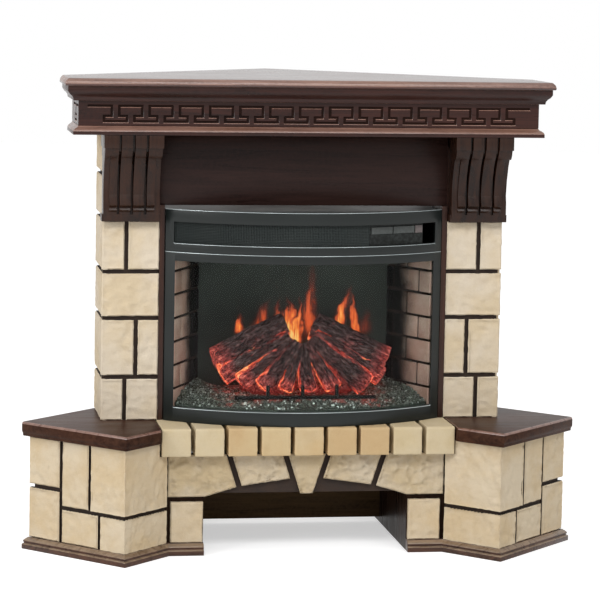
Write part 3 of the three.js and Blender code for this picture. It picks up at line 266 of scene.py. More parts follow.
def timber_grain() -> NodeTree:
    """Builds the grain of a board, along the vector's X.

    Returns:
        A group of long wavy grain, pores and slow colour drift.
    """

    def fill(t: Tree, source: Node, sink: Node) -> None:
        """Joins figure, streaks and pores into a colour, a height and a roughness.

        Args:
            t: the group\'s tree.
            source: its input node.
            sink: its output node.
        """
        place = source.outputs["Vector"]
        warp = t.grit(t.stretched(place, (2.5, 9, 9)), 1.0, 3)
        figure = t.grit(t.stretched(place, (4, 60, 60)), 1.0, 6, Distortion=1.2)
        streak = t.grit(t.stretched(place, (14, 420, 420)), 1.0, 3)
        pores = t.remap(t.grit(t.stretched(place, (90, 1500, 1500)), 1.0, 1), 0.6, 0.72)
        base = t.mix(t.remap(figure, 0.3, 0.7), source.outputs["Dark"], source.outputs["Light"])
        drift = t.mix(t.remap(warp, 0.35, 0.7, (0.0, 0.5)), base, source.outputs["Glow"])
        fine = t.mix(t.remap(streak, 0.45, 0.75, (0.0, 0.5)), drift, source.outputs["Dark"])
        t.put(sink.inputs["Color"], t.mix(t.math("MULTIPLY", pores, 0.6), fine, (0.004, 0.002, 0.002)))
        height = t.math("SUBTRACT", t.math("MULTIPLY", streak, 0.5), pores)
        t.put(sink.inputs["Height"], height)
        t.put(sink.inputs["Roughness"], t.remap(figure, 0.2, 0.8, (0.24, 0.38)))

    return group("Timber grain", {"Vector": None, "Dark": (0.02, 0.01, 0.01), "Light": (0.06, 0.02, 0.02),
                                  "Glow": (0.07, 0.02, 0.01)},
                 [("Color", "Color"), ("Height", "Float"), ("Roughness", "Float")], fill)


def cast_stone() -> NodeTree:
    """Builds pitted cast stone.

    Returns:
        A group of tinted clouds, sand grains, chisel marks and small holes.
    """

    def fill(t: Tree, source: Node, sink: Node) -> None:
        """Joins clouds, sand and pits into a colour and a height.

        Args:
            t: the group\'s tree.
            source: its input node.
            sink: its output node.
        """
        place = source.outputs["Vector"]
        cloud = t.grit(place, 7.0, 5, Roughness=0.6)
        patch = t.grit(t.stretched(place, (1, 1, 1), shift=(3, 1, 7)), 28.0, 4)
        sand = t.grit(place, 900.0, 3)
        grains = t.add("TexVoronoi", {"Vector": place, "Scale": 420.0}).outputs["Distance"]
        pits = t.math("MULTIPLY", t.remap(grains, 0.16, 0.05), t.remap(patch, 0.48, 0.62))
        colour = t.mix(t.remap(cloud, 0.35, 0.65), source.outputs["Base"], source.outputs["Warm"])
        colour = t.mix(t.remap(patch, 0.5, 0.75, (0.0, 0.14)), colour, source.outputs["Stain"])
        colour = t.mix(t.remap(sand, 0.35, 0.7, (0.0, 0.22)), colour, source.outputs["Stain"])
        t.put(sink.inputs["Color"], t.mix(t.math("MULTIPLY", pits, 0.55), colour, source.outputs["Stain"]))
        rough = t.grit(place, 160.0, 6, Roughness=0.65)
        chisel = t.add("TexNoise", {"Vector": t.stretched(place, (1, 1, 1.6), (0.3, 0.5, 0.2)), "Scale": 34.0,
                                    "Detail": 5.0}, noise_type="RIDGED_MULTIFRACTAL").outputs[0]
        height = t.math("ADD", t.math("MULTIPLY", rough, 0.5),
                        t.math("MULTIPLY", chisel, source.outputs["Chisel"]))
        t.put(sink.inputs["Height"], t.math("SUBTRACT", t.math("ADD", height, t.math("MULTIPLY", sand, 0.15)),
                                            t.math("MULTIPLY", pits, 0.5)))

    return group("Cast stone", {"Vector": None, "Base": (0.7, 0.6, 0.5), "Warm": (0.7, 0.6, 0.4),
                                "Stain": (0.4, 0.3, 0.2), "Chisel": 0.6},
                 [("Color", "Color"), ("Height", "Float")], fill)


def fine_dust() -> NodeTree:
    """Builds thin dust for surfaces that look up.

    Returns:
        A group of dust in soft blotches, and its mask.
    """

    def fill(t: Tree, source: Node, sink: Node) -> None:
        """Mixes dust into the colour by the surface's slope and a noise.

        Args:
            t: the group\'s tree.
            source: its input node.
            sink: its output node.
        """
        up = t.add("SeparateXYZ", {0: t.add("NewGeometry").outputs["Normal"]}).outputs["Z"]
        blotch = t.grit(source.outputs["Vector"], 18.0, 5)
        mask = t.math("MULTIPLY", t.remap(up, 0.3, 1.0), t.remap(blotch, 0.35, 0.75))
        mask = t.math("MULTIPLY", mask, source.outputs["Amount"])
        t.put(sink.inputs["Color"], t.mix(mask, source.outputs["Color"], (0.42, 0.38, 0.34)))
        t.put(sink.inputs["Mask"], mask)

    return group("Fine dust", {"Vector": None, "Color": (0.5, 0.5, 0.5), "Amount": 0.1},
                 [("Color", "Color"), ("Mask", "Float")], fill)


def edge_wear() -> NodeTree:
    """Builds the wear of convex edges.

    Returns:
        A group that lightens them, broken up by a scratchy noise.
    """

    def fill(t: Tree, source: Node, sink: Node) -> None:
        """Turns pointed places into a wear mask and mixes the worn colour in.

        Args:
            t: the group\'s tree.
            source: its input node.
            sink: its output node.
        """
        edge = t.remap(t.add("NewGeometry").outputs["Pointiness"], 0.505, 0.56)
        broken = t.remap(t.grit(source.outputs["Vector"], 130.0, 5), 0.35, 0.7)
        mask = t.math("MULTIPLY", t.math("MULTIPLY", edge, broken), source.outputs["Amount"], clamp=True)
        t.put(sink.inputs["Color"], t.mix(mask, source.outputs["Color"], source.outputs["Worn"]))
        t.put(sink.inputs["Mask"], mask)

    return group("Edge wear", {"Vector": None, "Color": (0.5, 0.5, 0.5), "Worn": (0.6, 0.5, 0.4),
                               "Amount": 0.5},
                 [("Color", "Color"), ("Mask", "Float")], fill)


class Paint(Tree):
    """One material with its Principled shader and object coordinates ready."""

    def __init__(self, name: str) -> None:
        """Starts a material.

        Args:
            name: the finish's name.
        """
        self.material = bpy.data.materials.new(name)
        self.material.use_nodes = True
        super().__init__(self.material.node_tree)
        self.shader = self.tree.nodes["Principled BSDF"]
        self.place = self.add("TexCoord").outputs["Object"]

    def set(self, **values: object) -> "Paint":
        """Sets inputs of the shader.

        Args:
            values: value of each input; an underscore stands for a space in its name.

        Returns:
            This paint.
        """
        for key, value in values.items():
            self.put(self.shader.inputs[key.replace("_", " ")], value)
        return self

    def use(self, tree: NodeTree, **values: object) -> Node:
        """Places a node group.

        Args:
            tree: the group.
            values: value of each of its inputs.

        Returns:
            The group's node.
        """
        node = self.tree.nodes.new("ShaderNodeGroup")
        node.node_tree = tree
        for key, value in values.items():
            self.put(node.inputs[key], value)
        return node

    def bump(self, height: object, strength: float, distance: float) -> "Paint":
        """Raises the surface by a height pattern.

        Args:
            height: the pattern.
            strength: share of the pattern that shows, from 0 to 1.
            distance: height in metres that a value of 1 stands for.

        Returns:
            This paint.
        """
        node = self.add("Bump", {"Height": height, "Strength": strength, "Distance": distance})
        self.put(self.shader.inputs["Normal"], node.outputs[0])
        return self


# ---------------------------------------------------------------- finishes


class Grain(Enum):
    """Which way the grain of a board runs."""

    ACROSS = (0.0, 0.0, 0.0)
    UPRIGHT = (0.0, math.pi / 2, 0.0)


@dataclass(frozen=True)
class Timber:
    """Lacquered or raw wood."""

    name: str
    dark: str
    light: str
    glow: str
    grain: Grain = Grain.ACROSS
    coat: float = 0.1
    gloss: float = 0.25
    matt: float = 0.0
    dust: float = 0.08
    wear: float = 0.5
    coat_rough: float = 0.16
    pore_depth: float = 0.0004

    def build(self) -> Material:
        """Builds the finish.

        Returns:
            Material with grain, pores, a lacquer coat, worn edges and a little dust.
        """
        p = Paint(self.name)
        along = p.stretched(p.place, (1, 1, 1), self.grain.value)
        grain = p.use(timber_grain(), Vector=along, Dark=tint(self.dark), Light=tint(self.light),
                      Glow=tint(self.glow))
        worn = p.use(edge_wear(), Vector=p.place, Color=grain.outputs[0], Worn=tint(self.light),
                     Amount=self.wear)
        dusty = p.use(fine_dust(), Vector=p.place, Color=worn.outputs[0], Amount=self.dust)
        rough = p.math("ADD", grain.outputs["Roughness"], p.math("MULTIPLY", dusty.outputs["Mask"], 0.5))
        p.set(Base_Color=dusty.outputs[0], Roughness=p.math("ADD", rough, self.matt, clamp=True),
              Specular_IOR_Level=self.gloss, Coat_Weight=self.coat,
              Coat_Roughness=self.coat_rough)
        p.bump(grain.outputs["Height"], 0.25, self.pore_depth)
        return p.material


@dataclass(frozen=True)
class Stone:
    """Cast stone with pits and sand."""

    name: str
    base: str
    warm: str
    stain: str
    relief: float = 0.0035
    chisel: float = 0.9
    rough: float = 0.88
    wear: float = 0.4

    def build(self) -> Material:
        """Builds the finish.

        Returns:
            Material with clouded tint, sand grains, pits and paler edges.
        """
        p = Paint(self.name)
        stone = p.use(cast_stone(), Vector=p.place, Base=tint(self.base), Warm=tint(self.warm),
                      Stain=tint(self.stain), Chisel=self.chisel)
        worn = p.use(edge_wear(), Vector=p.place, Color=stone.outputs[0], Worn=tint(self.base),
                     Amount=self.wear)
        p.set(Base_Color=worn.outputs[0], Roughness=self.rough, Specular_IOR_Level=0.3)
        p.bump(stone.outputs["Height"], 0.7, self.relief)
        return p.material


@dataclass(frozen=True)
class Metal:
    """Painted or bare sheet metal."""

    name: str
    colour: str
    metallic: float = 0.0
    rough: float = 0.4
    orange_peel: float = 0.1
    brushed: bool = False
    worn: str = "7c8482"
    wear: float = 0.35
    gloss: float = 0.5

    def build(self) -> Material:
        """Builds the finish.

        Returns:
            Material with a fine paint skin or brush lines, smudges and bright edges.
        """
        p = Paint(self.name)
        lines = p.stretched(p.place, (3, 900, 900) if self.brushed else (1, 1, 1))
        skin = p.grit(lines, 1.0 if self.brushed else 700.0, 3)
        smudge = p.grit(p.place, 6.0, 6)
        base = p.mix(p.remap(smudge, 0.3, 0.75, (0.0, 0.25)), tint(self.colour), shade(self.colour, 1.35))
        worn = p.use(edge_wear(), Vector=p.place, Color=base, Worn=tint(self.worn), Amount=self.wear)
        dusty = p.use(fine_dust(), Vector=p.place, Color=worn.outputs[0], Amount=0.06)
        rough = p.remap(p.math("ADD", p.math("MULTIPLY", skin, 0.35), smudge), 0.3, 1.1,
                        (self.rough - 0.07, self.rough + 0.12))
        p.set(Base_Color=dusty.outputs[0], Roughness=rough, Metallic=self.metallic,
              Specular_IOR_Level=self.gloss)
        p.bump(skin, self.orange_peel, 0.0002)
        return p.material


@dataclass(frozen=True)
class Moulded:
    """Plain moulded plastic."""

    name: str
    colour: str
    rough: float = 0.45

    def build(self) -> Material:
        """Builds the finish.

        Returns:
            Material with a spark-eroded grain and faint wear.
        """
        p = Paint(self.name)
        spark = p.grit(p.place, 1400.0, 2)
        cloud = p.grit(p.place, 30.0, 4)
        base = p.mix(p.remap(cloud, 0.3, 0.8, (0.0, 0.3)), tint(self.colour), shade(self.colour, 0.75))
        worn = p.use(edge_wear(), Vector=p.place, Color=base, Worn=shade(self.colour, 1.8), Amount=0.5)
        p.set(Base_Color=worn.outputs[0], Roughness=p.remap(cloud, 0.3, 0.8, (self.rough, self.rough + 0.15)))
        p.bump(spark, 0.2, 0.0001)
        return p.material


@dataclass(frozen=True)
class GroovePaint:
    """Dark stain in the joints between stones."""

    name: str = "groove_stain"

    def build(self) -> Material:
        """Builds the finish.

        Returns:
            Material of brown stain over coarse mortar.
        """
        p = Paint(self.name)
        sand = p.grit(p.place, 500.0, 5)
        patch = p.grit(p.place, 40.0, 4)
        colour = p.ramp(p.math("MULTIPLY", p.math("ADD", sand, patch), 0.5),
                        [(0.3, tint("170e09")), (0.55, tint("2b1c12")), (0.8, tint("463322"))])
        p.set(Base_Color=colour, Roughness=0.85)
        p.bump(sand, 0.5, 0.0006)
        return p.material


# ---------------------------------------------------------------- mesh helpers


def join_into(bm: BMesh, piece: BMesh) -> None:
    """Adds a finished piece, with its layers, to a larger mesh.

    Args:
        bm: the larger mesh.
        piece: the piece, which is used up.
    """
    mesh = bpy.data.meshes.new("piece")
    piece.to_mesh(mesh)
    piece.free()
    bm.from_mesh(mesh)
    bpy.data.meshes.remove(mesh)


def publish(bm: BMesh, name: str, materials: Sequence[Material],
            replaces: Sequence[str] = (), body: str = BODY, smooth: float = 0.0) -> Object:
    """Turns a bmesh into a piece of the fireplace.

    Args:
        bm: the finished mesh, in metres in the row frame; it is freed.
        name: the piece's name.
        materials: its materials, in the order of the faces' material index.
        replaces: nodes that the piece stands for.
        body: the body that the piece rides on.
        smooth: angle in degrees under which neighbouring faces are shaded smoothly.

    Returns:
        The new object.
    """
    mesh = bpy.data.meshes.new(name)
    if smooth:
        limit = math.radians(smooth)
        for face in bm.faces:
            face.smooth = True
        for edge in bm.edges:
            edge.smooth = len(edge.link_faces) == 2 and edge.calc_face_angle(0.0) < limit
    bm.to_mesh(mesh)
    bm.free()
    for material in materials:
        mesh.materials.append(material)
    piece = bpy.data.objects.new(name, mesh)
    bpy.context.scene.collection.objects.link(piece)
    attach(piece, body)
    if replaces:
        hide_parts(*replaces)
    log.info("%s: %d faces", name, len(mesh.polygons))
    return piece


def node_copy(node: str) -> BMesh:
    """Merged copy of a node's mesh, with flat faces joined.

    Args:
        node: the node's name.

    Returns:
        The copy as a bmesh.
    """
    bm = bmesh.new()
    bm.from_mesh(FRAME["nodes"][node].data)
    bmesh.ops.remove_doubles(bm, verts=bm.verts, dist=MERGE)
    bmesh.ops.dissolve_limit(bm, angle_limit=FLAT, verts=bm.verts, edges=bm.edges)
    return bm


def soften(bm: BMesh, width: float, segments: int = 2, angle: float = 25.0, shortest: float = 0.0,
           finish: Optional[int] = None) -> None:
    """Rounds the sharp edges of a mesh.

    Args:
        bm: the mesh.
        width: width of the rounding in metres.
        segments: number of faces across it.
        angle: edges sharper than this many degrees are rounded.
        shortest: edges shorter than this are left.
        finish: material index of the rounding, where it has its own.
    """
    limit = math.radians(angle)
    edges = [e for e in bm.edges if len(e.link_faces) == 2 and e.calc_face_angle(0.0) > limit
             and e.calc_length() > shortest]
    made = bmesh.ops.bevel(bm, geom=edges, offset=width, offset_type="OFFSET", segments=segments, profile=0.5,
                           affect="EDGES", clamp_overlap=True, material=-1)
    if finish is not None:
        for face in made["faces"]:
            face.material_index = finish


def slice_grid(bm: BMesh, step: float, axes: Iterable[int] = (0, 1, 2)) -> None:
    """Cuts all faces by evenly spaced planes, so that they can take relief.

    Args:
        bm: the mesh.
        step: spacing of the planes in metres.
        axes: axes that the planes stand square to.
    """
    for axis in axes:
        low = min(v.co[axis] for v in bm.verts)
        high = max(v.co[axis] for v in bm.verts)
        count = max(1, round((high - low) / step))
        normal = Vector((axis == 0, axis == 1, axis == 2))
        for i in range(1, count):
            place = normal * (low + (high - low) * (i + GRID_SHIFT) / (count + GRID_SHIFT))
            bmesh.ops.bisect_plane(bm, geom=bm.verts[:] + bm.edges[:] + bm.faces[:], plane_co=place,
                                   plane_no=normal, dist=1e-6)


def rough_hew(bm: BMesh, depth: float, scale: float, seed: float,
              skip: Callable[[bmesh.types.BMVert], bool] = lambda v: False) -> None:
    """Moves vertices inwards by a broken noise, as a chisel leaves stone.

    Args:
        bm: the mesh.
        depth: deepest cut in metres.
        scale: size of the pattern, in repeats for each metre.
        seed: offset of the pattern.
        skip: says which vertices stay.
    """
    bm.normal_update()
    moves = []
    for vert in bm.verts:
        if skip(vert):
            continue
        at = vert.co * scale + Vector((seed, seed * 1.7, -seed))
        nearest = noise.voronoi(at)[1][0]
        facet = (at - nearest).dot(noise.cell_vector(nearest * 13.0) - Vector((0.5, 0.5, 0.5)))
        broad = noise.fractal(at * 0.45, 0.9, 2.1, 3)
        worked = min(1.0, max(0.15, 0.55 + 1.3 * noise.noise(at * 0.22)))
        cut = depth * min(1.0, max(0.0, 0.4 + worked * (5.5 * facet + 0.5 * broad)))
        if any(e.calc_face_angle(0.0) > SHARP for e in vert.link_edges):
            cut *= SHARP_SHARE
        moves.append((vert, vert.normal * -cut))
    for vert, move in moves:
        vert.co += move


def dress(nodes: Iterable[str], material: Material) -> None:
    """Gives CAD nodes a finish of their own.

    Args:
        nodes: names of the nodes that stay visible.
        material: their material.
    """
    for name in nodes:
        data = FRAME["nodes"][name].data
        data.materials.clear()
        data.materials.append(material)
        log.info("%s: dressed with %s", name, material.name)


def row_y(depth: float) -> float:
    """Place along Y of a depth behind the mantel's front edge."""
    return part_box("flame_screen")[0].y - SCREEN_DEPTH + depth


# ---------------------------------------------------------------- portal


@dataclass
class Woodwork:
    """Mantel, header, corbels, slabs, plinths and the boards behind them."""

    edge_radius: float = 0.0009
    slab_radius: float = 0.0012
    corbel_radius: float = 0.0016
    frieze_radius: float = 0.0010
    groove: tuple[float, float] = (0.0012, 0.006)       # depths between which the carving takes painted shade
    lip_slope: tuple[float, float] = (0.2, 0.95)        # upward part of the normal on a groove's lip, where a highlight is painted
    highlight_slope: tuple[float, float] = (0.2, 0.97)       # the same on a rounded edge that looks up
    top: Timber = Timber("polished_top", "2a1712", "4a2a22", "5a2e20", coat=0.4, gloss=0.5)
    lacquer: Timber = Timber("dark_lacquer", "1a0c09", "351b15", "401f17", gloss=0.2)
    header: Timber = Timber("header_lacquer", "1a0f0d", "2c1c19", "32201b", gloss=0.14, coat=0.0)
    upright: Timber = Timber("dark_lacquer_upright", "20110c", "3c241b", "46281c", Grain.UPRIGHT, gloss=0.2,
                             coat=0.05)
    # The slabs' wood is written lighter than the other lacquer: painted light from above on their tops.
    slab: Timber = Timber("slab_lacquer_painted_light", "26150f", "452d21", "4e3022", gloss=0.05, coat=0.0, matt=0.06)
    ribs: Timber = Timber("corbel_lacquer", "130906", "2e190f", "3a2012", Grain.UPRIGHT, gloss=0.2, coat=0.06)
    # Paler wood on the upward lips of the frieze's grooves: a painted highlight.
    painted_highlight_groove_lip: Timber = Timber("painted_highlight_groove_lip", "7a584d", "ab8677", "a37a66", gloss=0.5, dust=0.0)
    # Paler wood on rounded edges that look up, on the mouldings, slabs and plinths: a painted highlight for
    # light from above.
    lip: Timber = Timber("painted_highlight_lip", "5a3d34", "8a6a5e", "8c6652", gloss=0.6, dust=0.0)
    plinth_lip: Timber = Timber("painted_highlight_plinth_lip", "5e4936", "8d7861", "8a7058", gloss=0.4, dust=0.0)
    niche: Timber = Timber("niche_lacquer", "3b2b1b", "5e4830", "66502f", gloss=0.04, coat=0.0)
    # A darker copy of the upright lacquer for the wing cases' sides in the niche: painted shade.
    shaded: Timber = Timber("wing_side_painted_shade", "1a100b", "2f2017", "38261a", Grain.UPRIGHT, gloss=0.03,
                            coat=0.0)
    plinth: Timber = Timber("plinth_lacquer", "2c1d16", "54382b", "5c3a2a", dust=0.12, gloss=0.2)
    # Darker wood deep in the frieze's grooves: painted shade.
    carved: Timber = Timber("groove_painted_shade_wood", "170d0a", "291813", "2e1b14", gloss=0.08, coat=0.0, matt=0.4)
    board: Timber = Timber("raw_board", "8a6b4c", "b08c64", "a5784c", Grain.UPRIGHT, coat=0.0, gloss=0.3,
                           matt=0.4)

    def build(self) -> None:
        """Builds and dresses every wooden piece."""
        lacquer, upright = self.lacquer.build(), self.upright.build()
        slab, board = self.slab.build(), self.board.build()
        plinth, ribs = self.plinth.build(), self.ribs.build()
        lip, plinth_lip = self.lip.build(), self.plinth_lip.build()
        self.rounded("mantel_top", self.top.build(), self.edge_radius, rim=lip)
        self.rounded("header_board", self.header.build(), self.edge_radius)
        for node in ("crown_moulding", "lower_moulding"):
            self.rounded(node, lacquer, self.edge_radius, rim=lip)
        self.frieze(lacquer, self.painted_highlight_groove_lip.build())
        for side in ("left", "right"):
            self.rounded(f"wing_slab_{side}", slab, self.slab_radius, rim=lip)
            self.rounded(f"plinth_{side}", plinth, self.edge_radius, rim=plinth_lip)
            self.rounded(f"corbel_{side}", ribs, self.corbel_radius)
        dress(("pier_case_left", "pier_case_right"), upright)
        dress(("niche_back", "hearth_board"), self.niche.build())
        dress(("wing_case_left", "wing_case_right"), self.shaded.build())
        dress(("insert_shelf", "mantel_soffit"), board)

    def frieze(self, lacquer: Material, lip: Material) -> None:
        """Replaces the key frieze by a copy with eased edges, painted shade in its grooves and painted
        highlights on their lower lips.

        Args:
            lacquer: finish of the raised pattern.
            lip: finish of the grooves' lower lips, a painted highlight.
        """
        low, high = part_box("key_frieze")

        def depth(face: bmesh.types.BMFace) -> float:
            """Depth of a face's middle under the frieze's front or end."""
            middle = face.calc_center_median()
            return min(middle.y - low.y, high.x - abs(middle.x))

        bm = node_copy("key_frieze")
        # Faces deep in the grooves take the painted shade.
        for face in bm.faces:
            face.material_index = 1 if self.groove[0] < depth(face) < self.groove[1] else 0
        soften(bm, self.frieze_radius, 1)
        # Groove lips that look up take the painted highlight.
        for face in bm.faces:
            if self.lip_slope[0] < face.normal.z < self.lip_slope[1] and depth(face) < self.groove[0]:
                face.material_index = 2
        finishes = [lacquer, self.carved.build(), lip]
        publish(bm, "key_frieze_eased", finishes, ["key_frieze"], smooth=35)

    def rounded(self, node: str, material: Material, radius: float,
                rim: Optional[Material] = None) -> None:
        """Replaces a node by a copy with eased edges.

        Args:
            node: the node's name.
            material: its finish.
            radius: width of the rounding in metres.
            rim: finish of the rounded edges that look up, a paler wood that is a painted highlight for light
                from above.
        """
        bm = node_copy(node)
        soften(bm, radius, 2)
        bm.normal_update()
        # Rounding faces that look up take the painted highlight finish.
        for face in bm.faces:
            up = self.highlight_slope[0] < face.normal.z < self.highlight_slope[1]
            face.material_index = 1 if rim and up else 0
        publish(bm, node + "_eased", [material, rim] if rim else [material], [node], smooth=35)


@dataclass
class Stonework:
    """Cladding panels, arch, jambs and the row of hearth bricks."""

    groove_depth: float = 0.0045
    face_depth: float = 0.0035
    hew_scale: float = 55.0
    arch_grid: float = 0.0045
    arch_hew: float = 0.0055
    brick_radius: float = 0.0022
    brick_grid: float = 0.006
    brick_hew: float = 0.0007
    brick_scale: float = 60.0
    cladding: Stone = Stone("cladding_stone", "d5c8b4", "cfbd9f", "a89070")
    wing: Stone = Stone("wing_stone", "d2c3aa", "cbb694", "a18764")
    # The arch's stone is written darker than the cladding: painted shade, as the arch sits in shadow.
    arch: Stone = Stone("arch_stone", "c8baa3", "c1ae8c", "977c5a", 0.006, 1.2)
    cream: Stone = Stone("hearth_cream_stone", "cabb9d", "c6b490", "a08760", 0.001, 0.15)
    tan: Stone = Stone("hearth_tan_stone", "c8b38c", "c0a47b", "9d7a4e", 0.001, 0.15)
    light_tan: Stone = Stone("hearth_light_tan_stone", "c8b491", "c4a97f", "9e7e52", 0.001, 0.15)

    def build(self) -> None:
        """Builds and dresses every stone."""
        stone, wing, groove = self.cladding.build(), self.wing.build(), GroovePaint().build()
        low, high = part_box("pier_stones_right")
        outer, front = high.x, low.y
        for sign, side in ((1, "right"), (-1, "left")):
            self.panel(f"pier_stones_{side}", [stone, groove], self.pier_depth(sign, outer, front))
            self.panel(f"wing_stones_{side}", [wing, groove], self.wing_depth(sign))
            self.panel(f"jamb_stone_{side}", [wing, groove], lambda co: 0.0)
        arch_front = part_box("arch_stones")[0].y
        self.panel("arch_stones", [self.arch.build(), groove], lambda co: co.y - arch_front, self.arch_hew,
                   self.arch_grid)
        finishes = {3: self.tan, 4: self.tan, 6: self.tan, 7: self.tan, 5: self.light_tan}
        built = {f: f.build() for f in (self.cream, self.tan, self.light_tan)}
        for number in range(1, 10):
            finish = finishes.get(number, self.cream)
            self.brick(number, built[finish], "hearth_cream" if finish is self.cream else "hearth_tan")

    @staticmethod
    def pier_depth(sign: int, outer: float, front: float) -> Callable[[Vector], float]:
        """Depth under the pier's front or side face, whichever is nearer."""
        return lambda co: min(co.y - front, outer - sign * co.x)

    @staticmethod
    def wing_depth(sign: int) -> Callable[[Vector], float]:
        """Measures depth under the wing's two slanted faces, whichever is nearer.

        Args:
            sign: 1 for the right wing, -1 for the left one.

        Returns:
            A function from a point to its depth.
        """
        corner = max(FRAME["nodes"]["wing_stones_right"].data.vertices, key=lambda v: -v.co.y).co
        root = math.sqrt(0.5)

        def depth(co: Vector) -> float:
            """Distance from the nearer face."""
            x, y = sign * co.x - corner.x, co.y - corner.y
            return min((y - x) * root, (y + x) * root)

        return depth

    def panel(self, node: str, materials: Sequence[Material], depth: Callable[[Vector], float],
              hew: float = 0.0032, grid: float = 0.0065) -> None:
        """Replaces a cladding node by hewn stones with stained joints.

        Args:
            node: the node's name.
            materials: stone and groove finishes.
            depth: how far a point lies under the stones' faces.
            hew: deepest cut of the chisel in metres.
            grid: size of the faces that take the relief.
        """
        bm = node_copy(node)
        slice_grid(bm, grid)
        bmesh.ops.triangulate(bm, faces=[f for f in bm.faces if len(f.verts) > 4])
        for face in bm.faces:
            face.material_index = 1 if depth(face.calc_center_median()) > self.groove_depth else 0
        seed = sum(map(ord, node)) % 17 + 0.5
        rough_hew(bm, hew, self.hew_scale, seed, lambda v: depth(v.co) > self.face_depth)
        publish(bm, node + "_hewn", materials, [node], smooth=22)

    def brick(self, number: int, material: Material, slot: str) -> None:
        """Replaces one hearth brick by a worn one.

        Args:
            number: the brick's number, from the left.
            material: its finish.
            slot: the record's material slot; not used.
        """
        node = f"hearth_brick_{number}"
        bm = node_copy(node)
        soften(bm, self.brick_radius, 3)
        slice_grid(bm, self.brick_grid)
        rough_hew(bm, self.brick_hew, self.brick_scale, number * 3.1)
        publish(bm, node + "_worn", [material], [node], smooth=60)


# ---------------------------------------------------------------- electric insert


@dataclass(frozen=True)
class Glazing:
    """Clear glass with a faint grey body and a few wiping marks."""

    name: str = "bowed_glass"
    colour: str = "dfe6e4"

    def build(self) -> Material:
        """Builds the finish.

        Returns:
            Material of polished glass.
        """
        p = Paint(self.name)
        wipe = p.grit(p.stretched(p.place, (4, 4, 30)), 1.0, 5)
        p.set(Base_Color=tint(self.colour), Roughness=p.remap(wipe, 0.45, 0.8, (0.0, 0.02)), IOR=1.12,
              Transmission_Weight=1.0)
        return p.material


@dataclass(frozen=True)
class Char:
    """Charred bark of the moulded logs, with glowing cracks."""

    name: str = "charred_bark"

    def build(self) -> Material:
        """Builds the finish.

        Returns:
            Material that reads the mesh's glow, ember and fibre attributes.
        """
        p = Paint(self.name)
        glow = p.add("Attribute", attribute_name="glow").outputs["Fac"]
        ember = p.add("Attribute", attribute_name="ember").outputs["Fac"]
        fibre = p.add("Attribute", attribute_name="fibre").outputs["Vector"]
        bark = p.grit(p.stretched(fibre, (150, 150, 62)), 1.0, 5, Roughness=0.7)
        speck = p.grit(p.place, 340.0, 4)
        ash = p.math("MULTIPLY", p.remap(bark, 0.5, 0.72), p.remap(speck, 0.42, 0.66))
        char = p.ramp(bark, [(0.36, tint("1a1112")), (0.5, tint("422d2d")), (0.64, tint("6f5453"))])
        p.set(Base_Color=p.mix(p.math("MULTIPLY", ash, 0.6), char, tint("8e8183")), Roughness=0.85,
              Specular_IOR_Level=0.25)
        lines = p.math("ADD", bark, p.math("MULTIPLY", speck, 0.4))
        heat = p.math("MULTIPLY", glow, p.remap(lines, 0.45, 0.95, (0.45, 1.25)))
        cracks = p.ramp(heat, [(0.12, (0.0, 0.0, 0.0)), (0.34, (0.16, 0.008, 0.005)),
                               (0.55, (0.7, 0.05, 0.02)), (0.8, (1.0, 0.22, 0.06)), (1.0, (1.0, 0.5, 0.16))])
        embers = p.ramp(p.math("MULTIPLY", ember, p.remap(lines, 0.5, 0.9, (0.15, 1.0))),
                        [(0.1, (0.0, 0.0, 0.0)), (0.45, (0.14, 0.012, 0.011)), (0.75, (0.42, 0.04, 0.03)),
                         (1.0, (0.95, 0.2, 0.12))])
        p.set(Emission_Color=p.mix(1.0, cracks, embers, "ADD"), Emission_Strength=1.1)
        p.bump(lines, 0.9, 0.0035)
        return p.material


@dataclass(frozen=True)
class ShadedLinerBrick:
    """Cast brick, pale pink at the front, darkened by painted shade to near black towards the back; its pink
    is written paler, as painted light on the front.
    """

    name: str = "liner_brick_painted_shade"
    # Depths between which the painted shade grows from none to full.
    span: tuple[float, float] = (0.132, 0.192)

    def build(self) -> Material:
        """Builds the finish.

        Returns:
            Material whose painted shade grows with depth.
        """
        p = Paint(self.name)
        depth = p.add("SeparateXYZ", {0: p.place}).outputs["Y"]
        fringe = p.math("MULTIPLY", p.math("SUBTRACT", p.grit(p.place, 22.0, 4), 0.5), 0.05)
        ragged = p.math("ADD", depth, fringe)
        painted_shade = p.remap(ragged, row_y(self.span[0]), row_y(self.span[1]))
        sand = p.grit(p.place, 420.0, 5)
        # The brick's pink is written pale, partly as painted light on the liner's front.
        brick = p.mix(p.remap(p.grit(p.place, 16.0, 4), 0.3, 0.7), tint("d6ab9a"), tint("eccdbd"))
        brick = p.mix(p.remap(sand, 0.4, 0.75, (0.0, 0.5)), brick, tint("b08a7a"))
        p.set(Base_Color=p.mix(painted_shade, brick, tint("101010")), Roughness=0.9, Specular_IOR_Level=0.2)
        p.bump(sand, 0.5, 0.0008)
        return p.material


